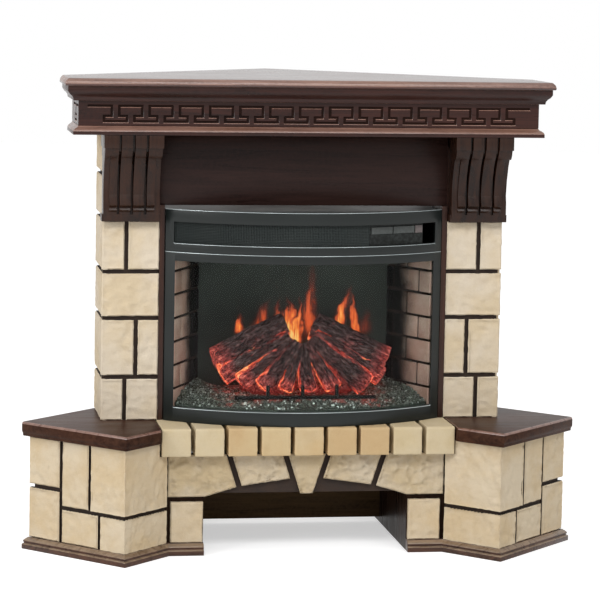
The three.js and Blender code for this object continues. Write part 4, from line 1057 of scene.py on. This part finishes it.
@dataclass(frozen=True)
class CrushedGlass:
    """Dark crushed glass with painted glints on chips towards the front and a painted red glow near the logs.
    """

    name: str = "crushed_glass"
    glint: tuple[float, float] = (0.001, 0.066)

    def build(self) -> Material:
        """Builds the finish.

        Returns:
            Material with a value of its own for each chip.
        """
        p = Paint(self.name)
        chip = p.add("Attribute", attribute_name="chip").outputs["Fac"]
        painted_glow = p.add("Attribute", attribute_name="painted_glow").outputs["Fac"]
        colour = p.ramp(chip, [(0.0, tint("4a4d46")), (0.5, tint("62665e")), (0.85, tint("858b82")),
                               (1.0, tint("bcc2b9"))])
        place = p.add("SeparateXYZ", {0: p.place})
        # Bright chips at the front glow: painted glints.
        front = p.remap(place.outputs["Y"], row_y(self.glint[0]), row_y(self.glint[1]), (1.0, 0.0))
        glint = p.math("MULTIPLY", p.remap(chip, 0.8, 1.0), front)
        # A red glow on chips near the logs: painted light from the fire.
        cloud = p.remap(p.grit(p.place, 45.0, 3), 0.45, 0.65)
        ember = p.mix(p.math("MULTIPLY", painted_glow, cloud), (0.0, 0.0, 0.0), (0.22, 0.012, 0.008))
        p.set(Base_Color=colour, Roughness=p.remap(chip, 0.0, 1.0, (0.22, 0.06)),
              Emission_Color=p.mix(glint, ember, (0.62, 0.66, 0.64)), Emission_Strength=1.0)
        return p.material


def flame_tongue() -> NodeTree:
    """Builds one flame on an upright screen.

    Returns:
        A group of its heat: high at its broad foot, low at its ragged tip.
    """

    def fill(t: Tree, source: Node, sink: Node) -> None:
        """Turns the distance from a wavy centre line into heat.

        Args:
            t: the group\'s tree.
            source: its input node.
            sink: its output node.
        """
        axes = t.add("SeparateXYZ", {0: source.outputs["Vector"]})
        above = t.math("SUBTRACT", axes.outputs["Z"], source.outputs["Foot"])
        rise = t.math("DIVIDE", above, source.outputs["Height"])
        lick = t.math("SUBTRACT", t.grit(source.outputs["Vector"], 24.0, 2), 0.5)
        flick = t.math("SUBTRACT", t.grit(source.outputs["Vector"], 85.0, 2), 0.5)
        sway = t.math("ADD", t.math("MULTIPLY", lick, 0.05), t.math("MULTIPLY", flick, 0.014))
        curl = t.math("MULTIPLY", sway, t.math("ADD", rise, 0.3, clamp=True))
        lean = t.math("MULTIPLY", rise, source.outputs["Lean"])
        centre = t.math("ADD", t.math("ADD", source.outputs["Middle"], curl), lean)
        taper = t.math("POWER", t.math("SUBTRACT", 1.0, rise, clamp=True), 0.6)
        width = t.math("MAXIMUM", t.math("MULTIPLY", source.outputs["Width"], taper), 0.0002)
        off = t.math("DIVIDE", t.math("ABSOLUTE", t.math("SUBTRACT", axes.outputs["X"], centre)), width)
        fine = t.grit(t.stretched(source.outputs["Vector"], (210, 210, 26)), 1.0, 3)
        streak = t.remap(fine, 0.3, 0.62, (0.55, 1.1))
        body = t.math("MULTIPLY", t.remap(off, 1.15, 0.1), t.remap(rise, -0.16, 0.12))
        heat = t.math("MULTIPLY", body, streak)
        heat = t.math("MULTIPLY", heat, t.remap(rise, 1.0, 0.25, (0.12, 1.0)))
        t.put(sink.inputs["Heat"], t.math("MULTIPLY", heat, source.outputs["Power"]))

    return group("Flame tongue", {"Vector": None, "Middle": 0.0, "Foot": 0.5, "Height": 0.05, "Width": 0.012,
                                  "Lean": 0.0, "Power": 1.0}, [("Heat", "Float")], fill)


@dataclass(frozen=True)
class Flame:
    """Place, size and strength of one flame on the screen."""

    middle: float
    foot: float
    height: float
    width: float
    lean: float
    power: float


@dataclass(frozen=True)
class FlamePicture:
    """Dark screen with the flames that the light throws on it."""

    name: str = "flame_picture"
    flames: tuple[Flame, ...] = (
        Flame(-0.124, 0.480, 0.048, 0.018, -0.006, 0.74),
        Flame(-0.080, 0.488, 0.072, 0.027, 0.018, 0.44),
        Flame(-0.006, 0.452, 0.108, 0.023, -0.032, 1.0),
        Flame(0.000, 0.450, 0.116, 0.023, -0.012, 1.18),
        Flame(0.008, 0.452, 0.116, 0.019, 0.010, 1.0),
        Flame(0.036, 0.480, 0.172, 0.026, 0.018, 0.46),
        Flame(0.104, 0.486, 0.108, 0.021, 0.034, 0.84),
        Flame(0.157, 0.478, 0.110, 0.016, -0.020, 0.78),
        Flame(0.174, 0.480, 0.060, 0.018, 0.006, 0.24),
    )

    def build(self) -> Material:
        """Builds the finish.

        Returns:
            Material of the screen with all its flames.
        """
        p = Paint(self.name)
        heat = None
        for flame in self.flames:
            node = p.use(flame_tongue(), Vector=p.place, Middle=flame.middle, Foot=flame.foot,
                         Height=flame.height, Width=flame.width, Lean=flame.lean, Power=flame.power)
            heat = node.outputs[0] if heat is None else p.math("MAXIMUM", heat, node.outputs[0])
        fire = p.ramp(heat, [(0.0, (0.0, 0.0, 0.0)), (0.22, (0.10, 0.008, 0.003)), (0.5, (0.75, 0.10, 0.02)),
                             (0.78, (1.0, 0.30, 0.05)), (1.0, (1.0, 0.62, 0.2))])
        # The screen is written lighter towards the top.
        haze = p.remap(p.add("SeparateXYZ", {0: p.place}).outputs["Z"], 0.40, 0.66, (0.6, 1.0))
        screen_tone = p.mix(p.math("MULTIPLY", haze, p.remap(p.grit(p.place, 9.0, 4), 0.2, 0.8, (0.6, 1.0))),
                     tint("1a1c1a"), tint("4a4d48"))
        p.set(Base_Color=screen_tone, Roughness=0.5, Specular_IOR_Level=0.15, Emission_Color=fire,
              Emission_Strength=1.2)
        return p.material


@dataclass(frozen=True)
class Log:
    """One split log.

    Attributes:
        start: its thick outer end; the second value is a depth behind the mantel's front edge.
        end: its thin inner end, in the same way.
        radii: radius at each end.
        heat: how strongly its cracks glow, from 0 to 1.
    """

    start: Place
    end: Place
    radii: tuple[float, float]
    heat: float


@dataclass
class FireChamber:
    """Everything behind the glass: liners, logs, flames and the bed of crushed glass."""

    course: float = 0.0548
    joint: float = 0.006
    proud: float = 0.0035
    lead: float = 0.008
    brick_length: float = 0.094
    brick_edge: float = 0.0022
    bond: tuple[float, float] = (-0.012, -0.055)         # where even and odd courses start
    shortest: tuple[float, float] = (0.012, 0.01)        # a shorter or lower rest isn't laid
    liner_front: tuple[float, float] = (0.299, 0.100)    # place along X, depth
    liner_back: tuple[float, float] = (0.229, 0.2375)
    liner_rise: tuple[float, float] = (0.330, 0.6905)
    first_course: float = 0.318
    brick_foot: float = 0.31
    chips: int = 5200
    batch: int = 200
    seed: int = 11
    chip_size: tuple[float, float] = (0.0024, 0.0044)
    base_tone: float = 0.1
    warm_half: float = 0.17                              # where the painted glow lies on the bed, each way from the middle
    warm_depth: float = 0.036
    warm_fade: tuple[float, float] = (0.05, 0.02)
    bar_half: float = 0.165
    bar_face: tuple[float, float] = (0.034, 0.361)       # depth and top
    finger_half: float = 0.004
    finger_face: tuple[float, float] = (0.031, 0.386)
    fingers: tuple[float, ...] = (-0.088, -0.007, 0.073)
    grate_foot: float = 0.3523
    grate_back: float = 0.040
    grate_radius: float = 0.0014
    log_sides: int = 60
    log_ring: float = 0.0038
    cap_rings: int = 3
    thick_log: float = 0.03
    ash_tone: float = 0.3
    hearts: tuple[tuple[Place, float], ...] = (
        ((-0.075, 0.11, 0.388), 0.07), ((0.075, 0.11, 0.388), 0.07), ((0.0, 0.115, 0.405), 0.075))
    back_log: Log = Log((-0.12, 0.192, 0.376), (0.13, 0.198, 0.379), (0.026, 0.024), 0.3)
    back_number: int = 31
    logs: tuple[Log, ...] = (
        Log((-0.200, 0.108, 0.432), (-0.036, 0.142, 0.510), (0.034, 0.029), 0.6),
        Log((0.198, 0.108, 0.428), (0.034, 0.142, 0.508), (0.034, 0.029), 0.6),
        Log((-0.188, 0.087, 0.404), (-0.030, 0.120, 0.486), (0.024, 0.017), 0.75),
        Log((-0.148, 0.068, 0.390), (-0.022, 0.112, 0.478), (0.021, 0.014), 0.9),
        Log((-0.097, 0.055, 0.380), (-0.012, 0.108, 0.472), (0.023, 0.014), 0.35),
        Log((-0.046, 0.049, 0.374), (-0.004, 0.106, 0.468), (0.020, 0.012), 0.9),
        Log((0.012, 0.047, 0.374), (0.004, 0.106, 0.466), (0.023, 0.013), 0.3),
        Log((0.068, 0.053, 0.377), (0.014, 0.108, 0.470), (0.020, 0.012), 0.8),
        Log((0.146, 0.060, 0.382), (0.026, 0.114, 0.480), (0.028, 0.019), 0.35),
        Log((0.186, 0.086, 0.398), (0.034, 0.122, 0.488), (0.023, 0.017), 0.8),
    )

    def build(self) -> None:
        """Builds all the pieces of the chamber."""
        for side in ("left", "right"):
            self.liner(side)
        self.log_set()
        self.bed()
        dress(("flame_screen",), FlamePicture().build())
        dress(("chamber_ceiling",), Metal("chamber_black", "101212", 0.0, 0.6).build())

    def liner(self, side: str) -> None:
        """Covers one liner with courses of bricks in running bond.

        Args:
            side: "left" or "right".
        """
        bm = node_copy(f"brick_liner_{side}")
        soften(bm, 0.0008, 1)
        for face in bm.faces:
            face.material_index = 1
        sign = 1.0 if side == "right" else -1.0
        front = Vector((self.liner_front[0], row_y(self.liner_front[1]), 0.0))
        back = Vector((self.liner_back[0], row_y(self.liner_back[1]), 0.0))
        along = (back - front).normalized()
        normal = Vector((-along.y, along.x, 0.0))
        length, (low, high) = (back - front).length, self.liner_rise
        place = Matrix((along, Vector((0, 0, 1)), normal)).transposed().to_4x4()
        row, z = 0, self.first_course
        while z < high:
            top = min(z + self.course - self.joint, high)
            start = self.bond[row % 2]
            while start < length:
                a, b = max(start, -self.lead), min(start + self.brick_length - self.joint, length)
                if b - a > self.shortest[0] and top - max(z, low) > self.shortest[1]:
                    self.lay_brick(bm, place, front, (a, b), (max(z, self.brick_foot), top))
                start += self.brick_length
            z += self.course
            row += 1
        if sign < 0:
            added = [v for v in bm.verts if v.co.x > 0.05]
            for vert in added:
                vert.co.x = -vert.co.x
            bmesh.ops.reverse_faces(bm, faces=[f for f in bm.faces if f.material_index == 0])
        finishes = [ShadedLinerBrick(f"liner_brick_painted_shade_{side}").build(), GroovePaint("liner_mortar").build()]
        node = f"brick_liner_{side}"
        publish(bm, node + "_courses", finishes, [node], smooth=40)

    def lay_brick(self, bm: BMesh, place: Matrix, origin: Vector, span: tuple[float, float],
                  rise: tuple[float, float]) -> None:
        """Adds one brick slip with worn edges to a liner.

        Args:
            bm: the liner's mesh.
            place: turn from the liner's face to the row frame.
            origin: where the face's front edge stands.
            span: start and end along the face.
            rise: lower and upper edge.
        """
        made = bmesh.ops.create_cube(bm, size=1.0)
        verts = made["verts"]
        bmesh.ops.scale(bm, verts=verts, vec=(span[1] - span[0], rise[1] - rise[0], self.proud * 2))
        bmesh.ops.translate(bm, verts=verts, vec=((span[0] + span[1]) / 2, (rise[0] + rise[1]) / 2, 0.0))
        edges = list({e for v in verts for e in v.link_edges})
        worn = bmesh.ops.bevel(bm, geom=edges, offset=self.brick_edge, offset_type="OFFSET", segments=2,
                               profile=0.5, affect="EDGES", clamp_overlap=True, material=-1)
        verts = list({v for f in worn["faces"] for v in f.verts} | {v for v in verts if v.is_valid})
        for vert in verts:
            vert.co.z += 0.0006 * noise.noise(vert.co * 70.0)
        bmesh.ops.transform(bm, matrix=Matrix.Translation(origin) @ place, verts=verts)

    def log_set(self) -> None:
        """Builds the charred logs with their glowing cracks, and the grate in front of them."""
        bm = bmesh.new()
        for number, wood in enumerate(self.logs):
            self.one_log(bm, wood, number)
        self.one_log(bm, self.back_log, self.back_number)
        for (x, depth, z), size in self.hearts:
            self.heart(bm, Vector((x, row_y(depth), z)), size)
        self.bar(bm, (-self.bar_half, self.bar_half), *self.bar_face)
        for x in self.fingers:
            self.bar(bm, (x - self.finger_half, x + self.finger_half), *self.finger_face)
        iron = Metal("cast_iron", "0d0d0d", 0.0, 0.55, 0.3, wear=0.0, gloss=0.3).build()
        publish(bm, "charred_logs", [Char().build(), iron], ["log_set"], smooth=70)

    @staticmethod
    def charred_mesh() -> tuple[BMesh, object, object, object]:
        """Starts a mesh with the attributes that the charred finish reads.

        Returns:
            The empty mesh, and its glow, ember and fibre layers.
        """
        piece = bmesh.new()
        layers = piece.verts.layers
        return piece, layers.float.new("glow"), layers.float.new("ember"), layers.float_vector.new("fibre")

    def bar(self, bm: BMesh, across: tuple[float, float], front: float, top: float) -> None:
        """Adds one cast bar or finger of the grate.

        Args:
            bm: the log set's mesh.
            across: its two ends along X.
            front: depth of its front face.
            top: height of its top.
        """
        low, back = self.grate_foot, self.grate_back
        piece = self.charred_mesh()[0]
        verts = bmesh.ops.create_cube(piece, size=1.0)["verts"]
        bmesh.ops.scale(piece, verts=verts, vec=(across[1] - across[0], back - front, top - low))
        middle = (sum(across) / 2, row_y((front + back) / 2), (low + top) / 2)
        bmesh.ops.translate(piece, verts=verts, vec=middle)
        soften(piece, self.grate_radius, 2)
        for face in piece.faces:
            face.material_index = 1
        join_into(bm, piece)

    def heart(self, bm: BMesh, place: Vector, size: float) -> None:
        """Adds one lump of hot ash under the logs.

        Args:
            bm: the log set's mesh.
            place: middle of the lump.
            size: half its length.
        """
        piece, glow, ember, fibre = self.charred_mesh()
        bmesh.ops.create_icosphere(piece, subdivisions=4, radius=1.0)
        for vert in piece.verts:
            vert[glow], vert[ember], vert[fibre] = self.ash_tone, self.ash_tone, vert.co * 0.1
            lump = 1.0 + 0.25 * noise.noise(vert.co * 4.0)
            vert.co = place + Vector((vert.co.x * size, vert.co.y * 0.05, vert.co.z * 0.036)) * lump
        join_into(bm, piece)

    def one_log(self, bm: BMesh, wood: Log, number: int) -> None:
        """Adds one split log with bark fissures.

        Args:
            bm: the log set's mesh.
            wood: the log's place, size and heat.
            number: its number, which seeds the bark.
        """
        start, end, radii, heat = Vector(wood.start), Vector(wood.end), wood.radii, wood.heat
        axis = end - start
        length = axis.length
        piece, glow, ember, fibre = self.charred_mesh()
        bmesh.ops.create_cone(piece, cap_ends=True, cap_tris=False, segments=self.log_sides,
                              radius1=radii[0], radius2=radii[1], depth=length)
        caps = [f for f in piece.faces if len(f.verts) > 8]
        for _ in range(self.cap_rings):
            bmesh.ops.inset_individual(piece, faces=caps, thickness=radii[1] * 0.25, depth=0.0012)
        sides = [e for e in piece.edges if abs(e.verts[0].co.z - e.verts[1].co.z) > length / 2]
        cuts = max(12, int(length / self.log_ring))
        bmesh.ops.subdivide_edges(piece, edges=sides, cuts=cuts, use_grid_fill=True)
        seed = Vector((number * 5.3, number * 2.9, number * 1.1))
        turn = Vector((0, 0, 1)).rotation_difference(axis.normalized()).to_matrix()
        aside = axis.cross(Vector((0.0, 1.0, 0.0))).normalized()
        middle = (start + end) / 2
        middle.y = row_y(middle.y)
        for vert in piece.verts:
            local = vert.co.copy()
            round_ = Vector((local.x, local.y, 0.0))
            angle = math.atan2(local.y, local.x)
            wrap = Vector((math.cos(angle) * 2.6, math.sin(angle) * 2.6, local.z * 14.0)) + seed
            fissure = abs(noise.noise(wrap * 1.25)) + 0.5 * abs(noise.noise(wrap * 2.9))
            deep = max(0.0, 1.0 - fissure * 3.8)
            flake = noise.noise(Vector((wrap.x * 3.2, wrap.y * 3.2, local.z * 95.0)))
            lump = (1.0 + 0.10 * math.sin(2 * angle + number) + 0.16 * noise.noise(wrap * 0.45) - 0.22 * deep
                    + 0.07 * flake)
            knot = Vector((noise.noise(local * 9 + seed), noise.noise(local * 9 - seed), 0.0)) * 0.004
            drift = 0.003 * noise.noise(wrap * 2.0)
            bent = Vector((round_.x * lump, round_.y * lump, local.z + drift)) + knot
            world = turn @ bent + middle
            rim = max(0.0, 1.0 - (local.z / length + 0.5) * 4.5)
            out = (turn @ round_).normalized() if round_.length > 1e-6 else Vector((0.0, 0.0, 0.0))
            under, flank = max(0.0, -out.z), max(0.0, abs(out.dot(aside)) - 0.72) / 0.28
            flank *= max(0.0, 1.0 - 2.5 * max(0.0, out.z)) if radii[0] > self.thick_log else 1.0
            patch = max(0.0, 0.5 + noise.noise(world * 16.0 + seed))
            lit = 0.45 + 0.55 * heat
            vert[glow] = min(1.0, lit * (deep * (0.45 + 0.9 * flank) + flank * 1.25 * patch
                                         + under * 0.2 * patch))
            vert[ember] = min(1.0, (0.3 + 0.7 * heat) * (1.35 * rim + 0.5 * under * patch
                                                         + 0.5 * flank * patch + 0.4 * patch))
            vert[fibre] = round_ + Vector((0.0, 0.0, local.z)) + seed * 0.1
            vert.co = world
        join_into(bm, piece)

    def bed(self) -> None:
        """Builds the bed of crushed glass: a rough base under loose chips."""
        bm = node_copy("ember_bed")
        chip = bm.verts.layers.float.new("chip")
        bm.verts.layers.float.new("painted_glow")
        for vert in bm.verts:
            vert[chip] = self.base_tone
        dice = random.Random(self.seed)
        tops = [f for f in bm.faces if f.normal.z > 0.3]
        bmesh.ops.triangulate(bm, faces=tops)
        tops = [f for f in bm.faces if f.normal.z > 0.3]
        corners = [[v.co.copy() for v in f.verts] for f in tops]
        areas = [f.calc_area() for f in tops]
        batch = None
        for number in range(self.chips):
            if number % self.batch == 0:
                if batch is not None:
                    join_into(bm, batch)
                batch = bmesh.new()
                chip, painted_glow = batch.verts.layers.float.new("chip"), batch.verts.layers.float.new("painted_glow")
            a, b, c = dice.choices(corners, areas)[0]
            s, t = dice.random(), dice.random()
            if s + t > 1:
                s, t = 1 - s, 1 - t
            at = a + (b - a) * s + (c - a) * t
            size = dice.uniform(*self.chip_size)
            turn = Matrix.Rotation(dice.uniform(0, 6.3), 4, (dice.random(), dice.random(), 1.0))
            stretch = Matrix.Diagonal((1.0, dice.uniform(0.5, 0.9), dice.uniform(0.5, 1.0), 1.0))
            matrix = Matrix.Translation(at + Vector((0, 0, size * 0.35))) @ turn @ stretch
            made = bmesh.ops.create_icosphere(batch, subdivisions=1, radius=size, matrix=matrix)["verts"]
            value = dice.random() ** 1.5
            aside, ahead = abs(at.x) - self.warm_half, row_y(self.warm_depth) - at.y
            near = (max(0.0, 1.0 - max(0.0, aside) / self.warm_fade[0])
                    * max(0.0, 1.0 - max(0.0, ahead) / self.warm_fade[1]))
            for vert in made:
                vert[chip] = value
                vert[painted_glow] = near
        join_into(bm, batch)
        publish(bm, "crushed_glass_bed", [CrushedGlass().build()], ["ember_bed"])


@dataclass
class InsertBody:
    """Bowed front, grille, controls and the sheet-metal parts behind."""

    frame_radius: float = 0.0012
    wire: float = 0.0010
    wire_step: float = 0.0036
    wire_inset: float = 0.0008
    row_inset: float = 0.001
    paint: Metal = Metal("insert_paint", "1a1e1d", 0.0, 0.34, 0.06, wear=0.0, gloss=0.28)
    # Pale metal on the frames' rounded edges that look up: a painted highlight.
    rim: Metal = Metal("painted_highlight_rim", "b4bebf", 0.3, 0.26, 0.04, wear=0.0)

    def build(self) -> None:
        """Builds and dresses the insert's outside."""
        paint, rim = self.paint.build(), self.rim.build()
        for node in ("grille_frame", "glass_frame"):
            bm = node_copy(node)
            soften(bm, self.frame_radius, 3, finish=1)
            bm.normal_update()
            # Rounding faces that look up take the painted highlight.
            for face in bm.faces:
                face.material_index = 1 if face.material_index and face.normal.z > 0.15 else 0
            publish(bm, node + "_eased", [paint, rim], [node], smooth=30)
        dress(("front_glass",), Glazing().build())
        self.grille()
        finishes = {
            ("rotor_bracket",): Metal("zinc_sheet", "8b9091", 0.85, 0.38, 0.1, True, "b9bdbd"),
            # Black on the insert case and blower housing is painted shade, for the dark bay above the arch
            # and behind the grille.
            ("control_panel", "insert_case", "blower_housing"):
                Metal("black_sheet", "141614", 0.0, 0.5, wear=0.1, gloss=0.2),
            ("flicker_rotor",): Metal("bright_metal", "b4b8b9", 0.95, 0.28, 0.05, True, "d8dada"),
            # The blower rotor and heater are written dark: painted shade behind the grille.
            ("blower_rotor", "heater_element"): Metal("steel_painted_shade", "303334", 0.6, 0.5, wear=0.0),
            ("rotor_motor", "blower_motor", "mains_inlet"): Moulded("motor_black", "1b1c1d", 0.5),
            ("control_board", "led_board"): Moulded("circuit_green", "1e4a30", 0.4),
            ("flame_button", "heat_button"): Moulded("key_grey", "3c403e", 0.4),
            ("power_switch",): Moulded("switch_grey", "5b5250", 0.35),
        }
        for nodes, finish in finishes.items():
            dress(nodes, finish.build())

    def grille(self) -> None:
        """Weaves the curved wire grille from upright and level wires."""
        low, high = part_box("grille_mesh")
        centre_y, radius = self.bow()
        bm = bmesh.new()
        columns = int((high.x - low.x) / self.wire_step)
        for i in range(columns + 1):
            x = low.x + self.wire_inset + i * (high.x - low.x - 2 * self.wire_inset) / columns
            y = centre_y - math.sqrt(radius ** 2 - x ** 2)
            place = Matrix.Translation((x, y, (low.z + high.z) / 2)) @ Matrix.Rotation(math.pi / 4, 4, "Z")
            bmesh.ops.create_cone(bm, cap_ends=True, segments=4, radius1=self.wire, radius2=self.wire,
                                  depth=high.z - low.z, matrix=place)
        rows = int((high.z - low.z) / self.wire_step)
        start, end = math.asin(low.x / radius), math.asin(high.x / radius)
        for j in range(rows + 1):
            z = low.z + self.row_inset + j * (high.z - low.z - 2 * self.row_inset) / rows
            ring = bmesh.ops.create_circle(bm, cap_ends=False, segments=4, radius=self.wire,
                                           matrix=Matrix.Translation((0.0, centre_y - radius, z))
                                           @ Matrix.Rotation(math.pi / 2, 4, "Y"))
            bmesh.ops.rotate(bm, verts=ring["verts"], cent=(0, centre_y, 0),
                             matrix=Matrix.Rotation(start, 3, "Z"))
            edges = list({e for v in ring["verts"] for e in v.link_edges})
            bmesh.ops.spin(bm, geom=ring["verts"] + edges, cent=(0, centre_y, 0), axis=(0, 0, 1),
                           dvec=(0, 0, 0), angle=end - start, steps=36, use_merge=False)
        bmesh.ops.recalc_face_normals(bm, faces=bm.faces)
        publish(bm, "woven_grille", [Metal("grille_black", "2a302f", 0.2, 0.45, wear=0.0, gloss=0.4).build()],
                ["grille_mesh"])

    def bow(self) -> tuple[float, float]:
        """Reads the grille's bow from its solid.

        Returns:
            Place along Y of the bow's centre line, and its radius.
        """
        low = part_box("grille_mesh")[0]
        verts = FRAME["nodes"]["grille_mesh"].data.vertices
        front = min(v.co.y for v in verts)
        end = min((v.co for v in verts if v.co.x < low.x + 0.001), key=lambda co: co.y)
        rise, half = end.y - front, abs(end.x)
        radius = (half ** 2 + rise ** 2) / (2 * rise)
        return front + radius, radius - self.wire_inset


# ---------------------------------------------------------------- camera, light and floor


@dataclass(frozen=True)
class Lamp:
    """One large soft lamp: its place, the two sides of its face and its power in watts."""

    name: str
    place: Place
    size: tuple[float, float]
    power: float


@dataclass
class Studio:
    """Camera at the photograph's place, plain floor, soft lamps and white surroundings."""

    place: Place = (-1.0018, -6.1261, 1.3246)
    yaw: float = 0.1428
    pitch: float = 0.0968
    roll: float = -0.0159
    lens: float = 156.0
    shift: tuple[float, float] = (0.10, -0.12)
    fill: float = 0.62
    aim: Place = (0.0, 0.0, 0.55)
    lamps: tuple[Lamp, ...] = (
        Lamp("key_lamp", (0.2, -3.4, 3.6), (4.6, 1.2), 95.0),
        Lamp("side_lamp", (-3.4, -2.4, 2.2), (1.6, 1.6), 62.0),
    )
    floor_radius: float = 14.0
    floor_drop: float = 0.0005
    floor_white: float = 0.52

    def build(self) -> None:
        """Builds camera, world, lamps and floor."""
        self.camera()
        self.world()
        self.floor()
        for lamp in self.lamps:
            self.hang(lamp)

    def camera(self) -> None:
        """Camera from the fitted place and turn."""
        level = math.cos(self.pitch)
        forward = Vector((math.sin(self.yaw) * level, math.cos(self.yaw) * level, -math.sin(self.pitch)))
        right = Vector((math.cos(self.yaw), -math.sin(self.yaw), 0.0))
        down = forward.cross(right)
        across = right * math.cos(self.roll) + down * math.sin(self.roll)
        below = down * math.cos(self.roll) - right * math.sin(self.roll)
        data = bpy.data.cameras.new("studio_camera")
        data.lens, data.sensor_width = self.lens, 36.0
        data.shift_x, data.shift_y = self.shift
        data.clip_end = 60.0
        camera = bpy.data.objects.new("studio_camera", data)
        turn = Matrix((across, -below, -forward)).transposed().to_4x4()
        camera.matrix_world = Matrix.Translation(self.place) @ turn
        bpy.context.scene.collection.objects.link(camera)
        bpy.context.scene.camera = camera

    def world(self) -> None:
        """Soft light all round, seen as white by the camera and in reflections."""
        world = bpy.data.worlds.new("studio")
        world.use_nodes = True
        t = Tree(world.node_tree)
        background = world.node_tree.nodes["Background"]
        rest = t.math("MULTIPLY", t.seen(), 1.0 - self.fill)
        t.put(background.inputs["Strength"], t.math("ADD", rest, self.fill))
        t.put(background.inputs["Color"], (1.0, 1.0, 1.0))
        bpy.context.scene.world = world
        bpy.context.scene.view_settings.view_transform = "Standard"

    def hang(self, lamp: Lamp) -> None:
        """Hangs a lamp that looks at the middle of the fireplace.

        Args:
            lamp: its place, size and power.
        """
        data = bpy.data.lights.new(lamp.name, "AREA")
        data.shape, (data.size, data.size_y), data.energy = "RECTANGLE", lamp.size, lamp.power
        light = bpy.data.objects.new(lamp.name, data)
        look = Vector(self.aim) - Vector(lamp.place)
        turn = look.to_track_quat("-Z", "Y").to_matrix().to_4x4()
        light.matrix_world = Matrix.Translation(lamp.place) @ turn
        bpy.context.scene.collection.objects.link(light)

    def floor(self) -> None:
        """Wide pale floor that fades to the white surroundings but keeps the shadow."""
        bm = bmesh.new()
        bmesh.ops.create_circle(bm, cap_ends=True, radius=self.floor_radius, segments=64)
        mesh = bpy.data.meshes.new("studio_floor")
        bm.to_mesh(mesh)
        bm.free()
        p = Paint("studio_floor")
        grain = p.mix(p.grit(p.place, 300.0, 2), (0.78, 0.78, 0.78), (0.82, 0.82, 0.82))
        p.set(Base_Color=grain, Roughness=0.9, Emission_Color=(1.0, 1.0, 1.0),
              Emission_Strength=p.math("MULTIPLY", p.seen(), self.floor_white))
        mesh.materials.append(p.material)
        floor = bpy.data.objects.new("studio_floor", mesh)
        floor.location.z = -self.floor_drop
        bpy.context.scene.collection.objects.link(floor)


def main() -> None:
    """Builds the fireplace's looks, piece by piece."""
    logging.basicConfig(level=logging.INFO, format="%(message)s")
    FRAME.update(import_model())
    Studio().build()
    Woodwork().build()
    Stonework().build()
    InsertBody().build()
    FireChamber().build()


if __name__ == "__main__":
    main()
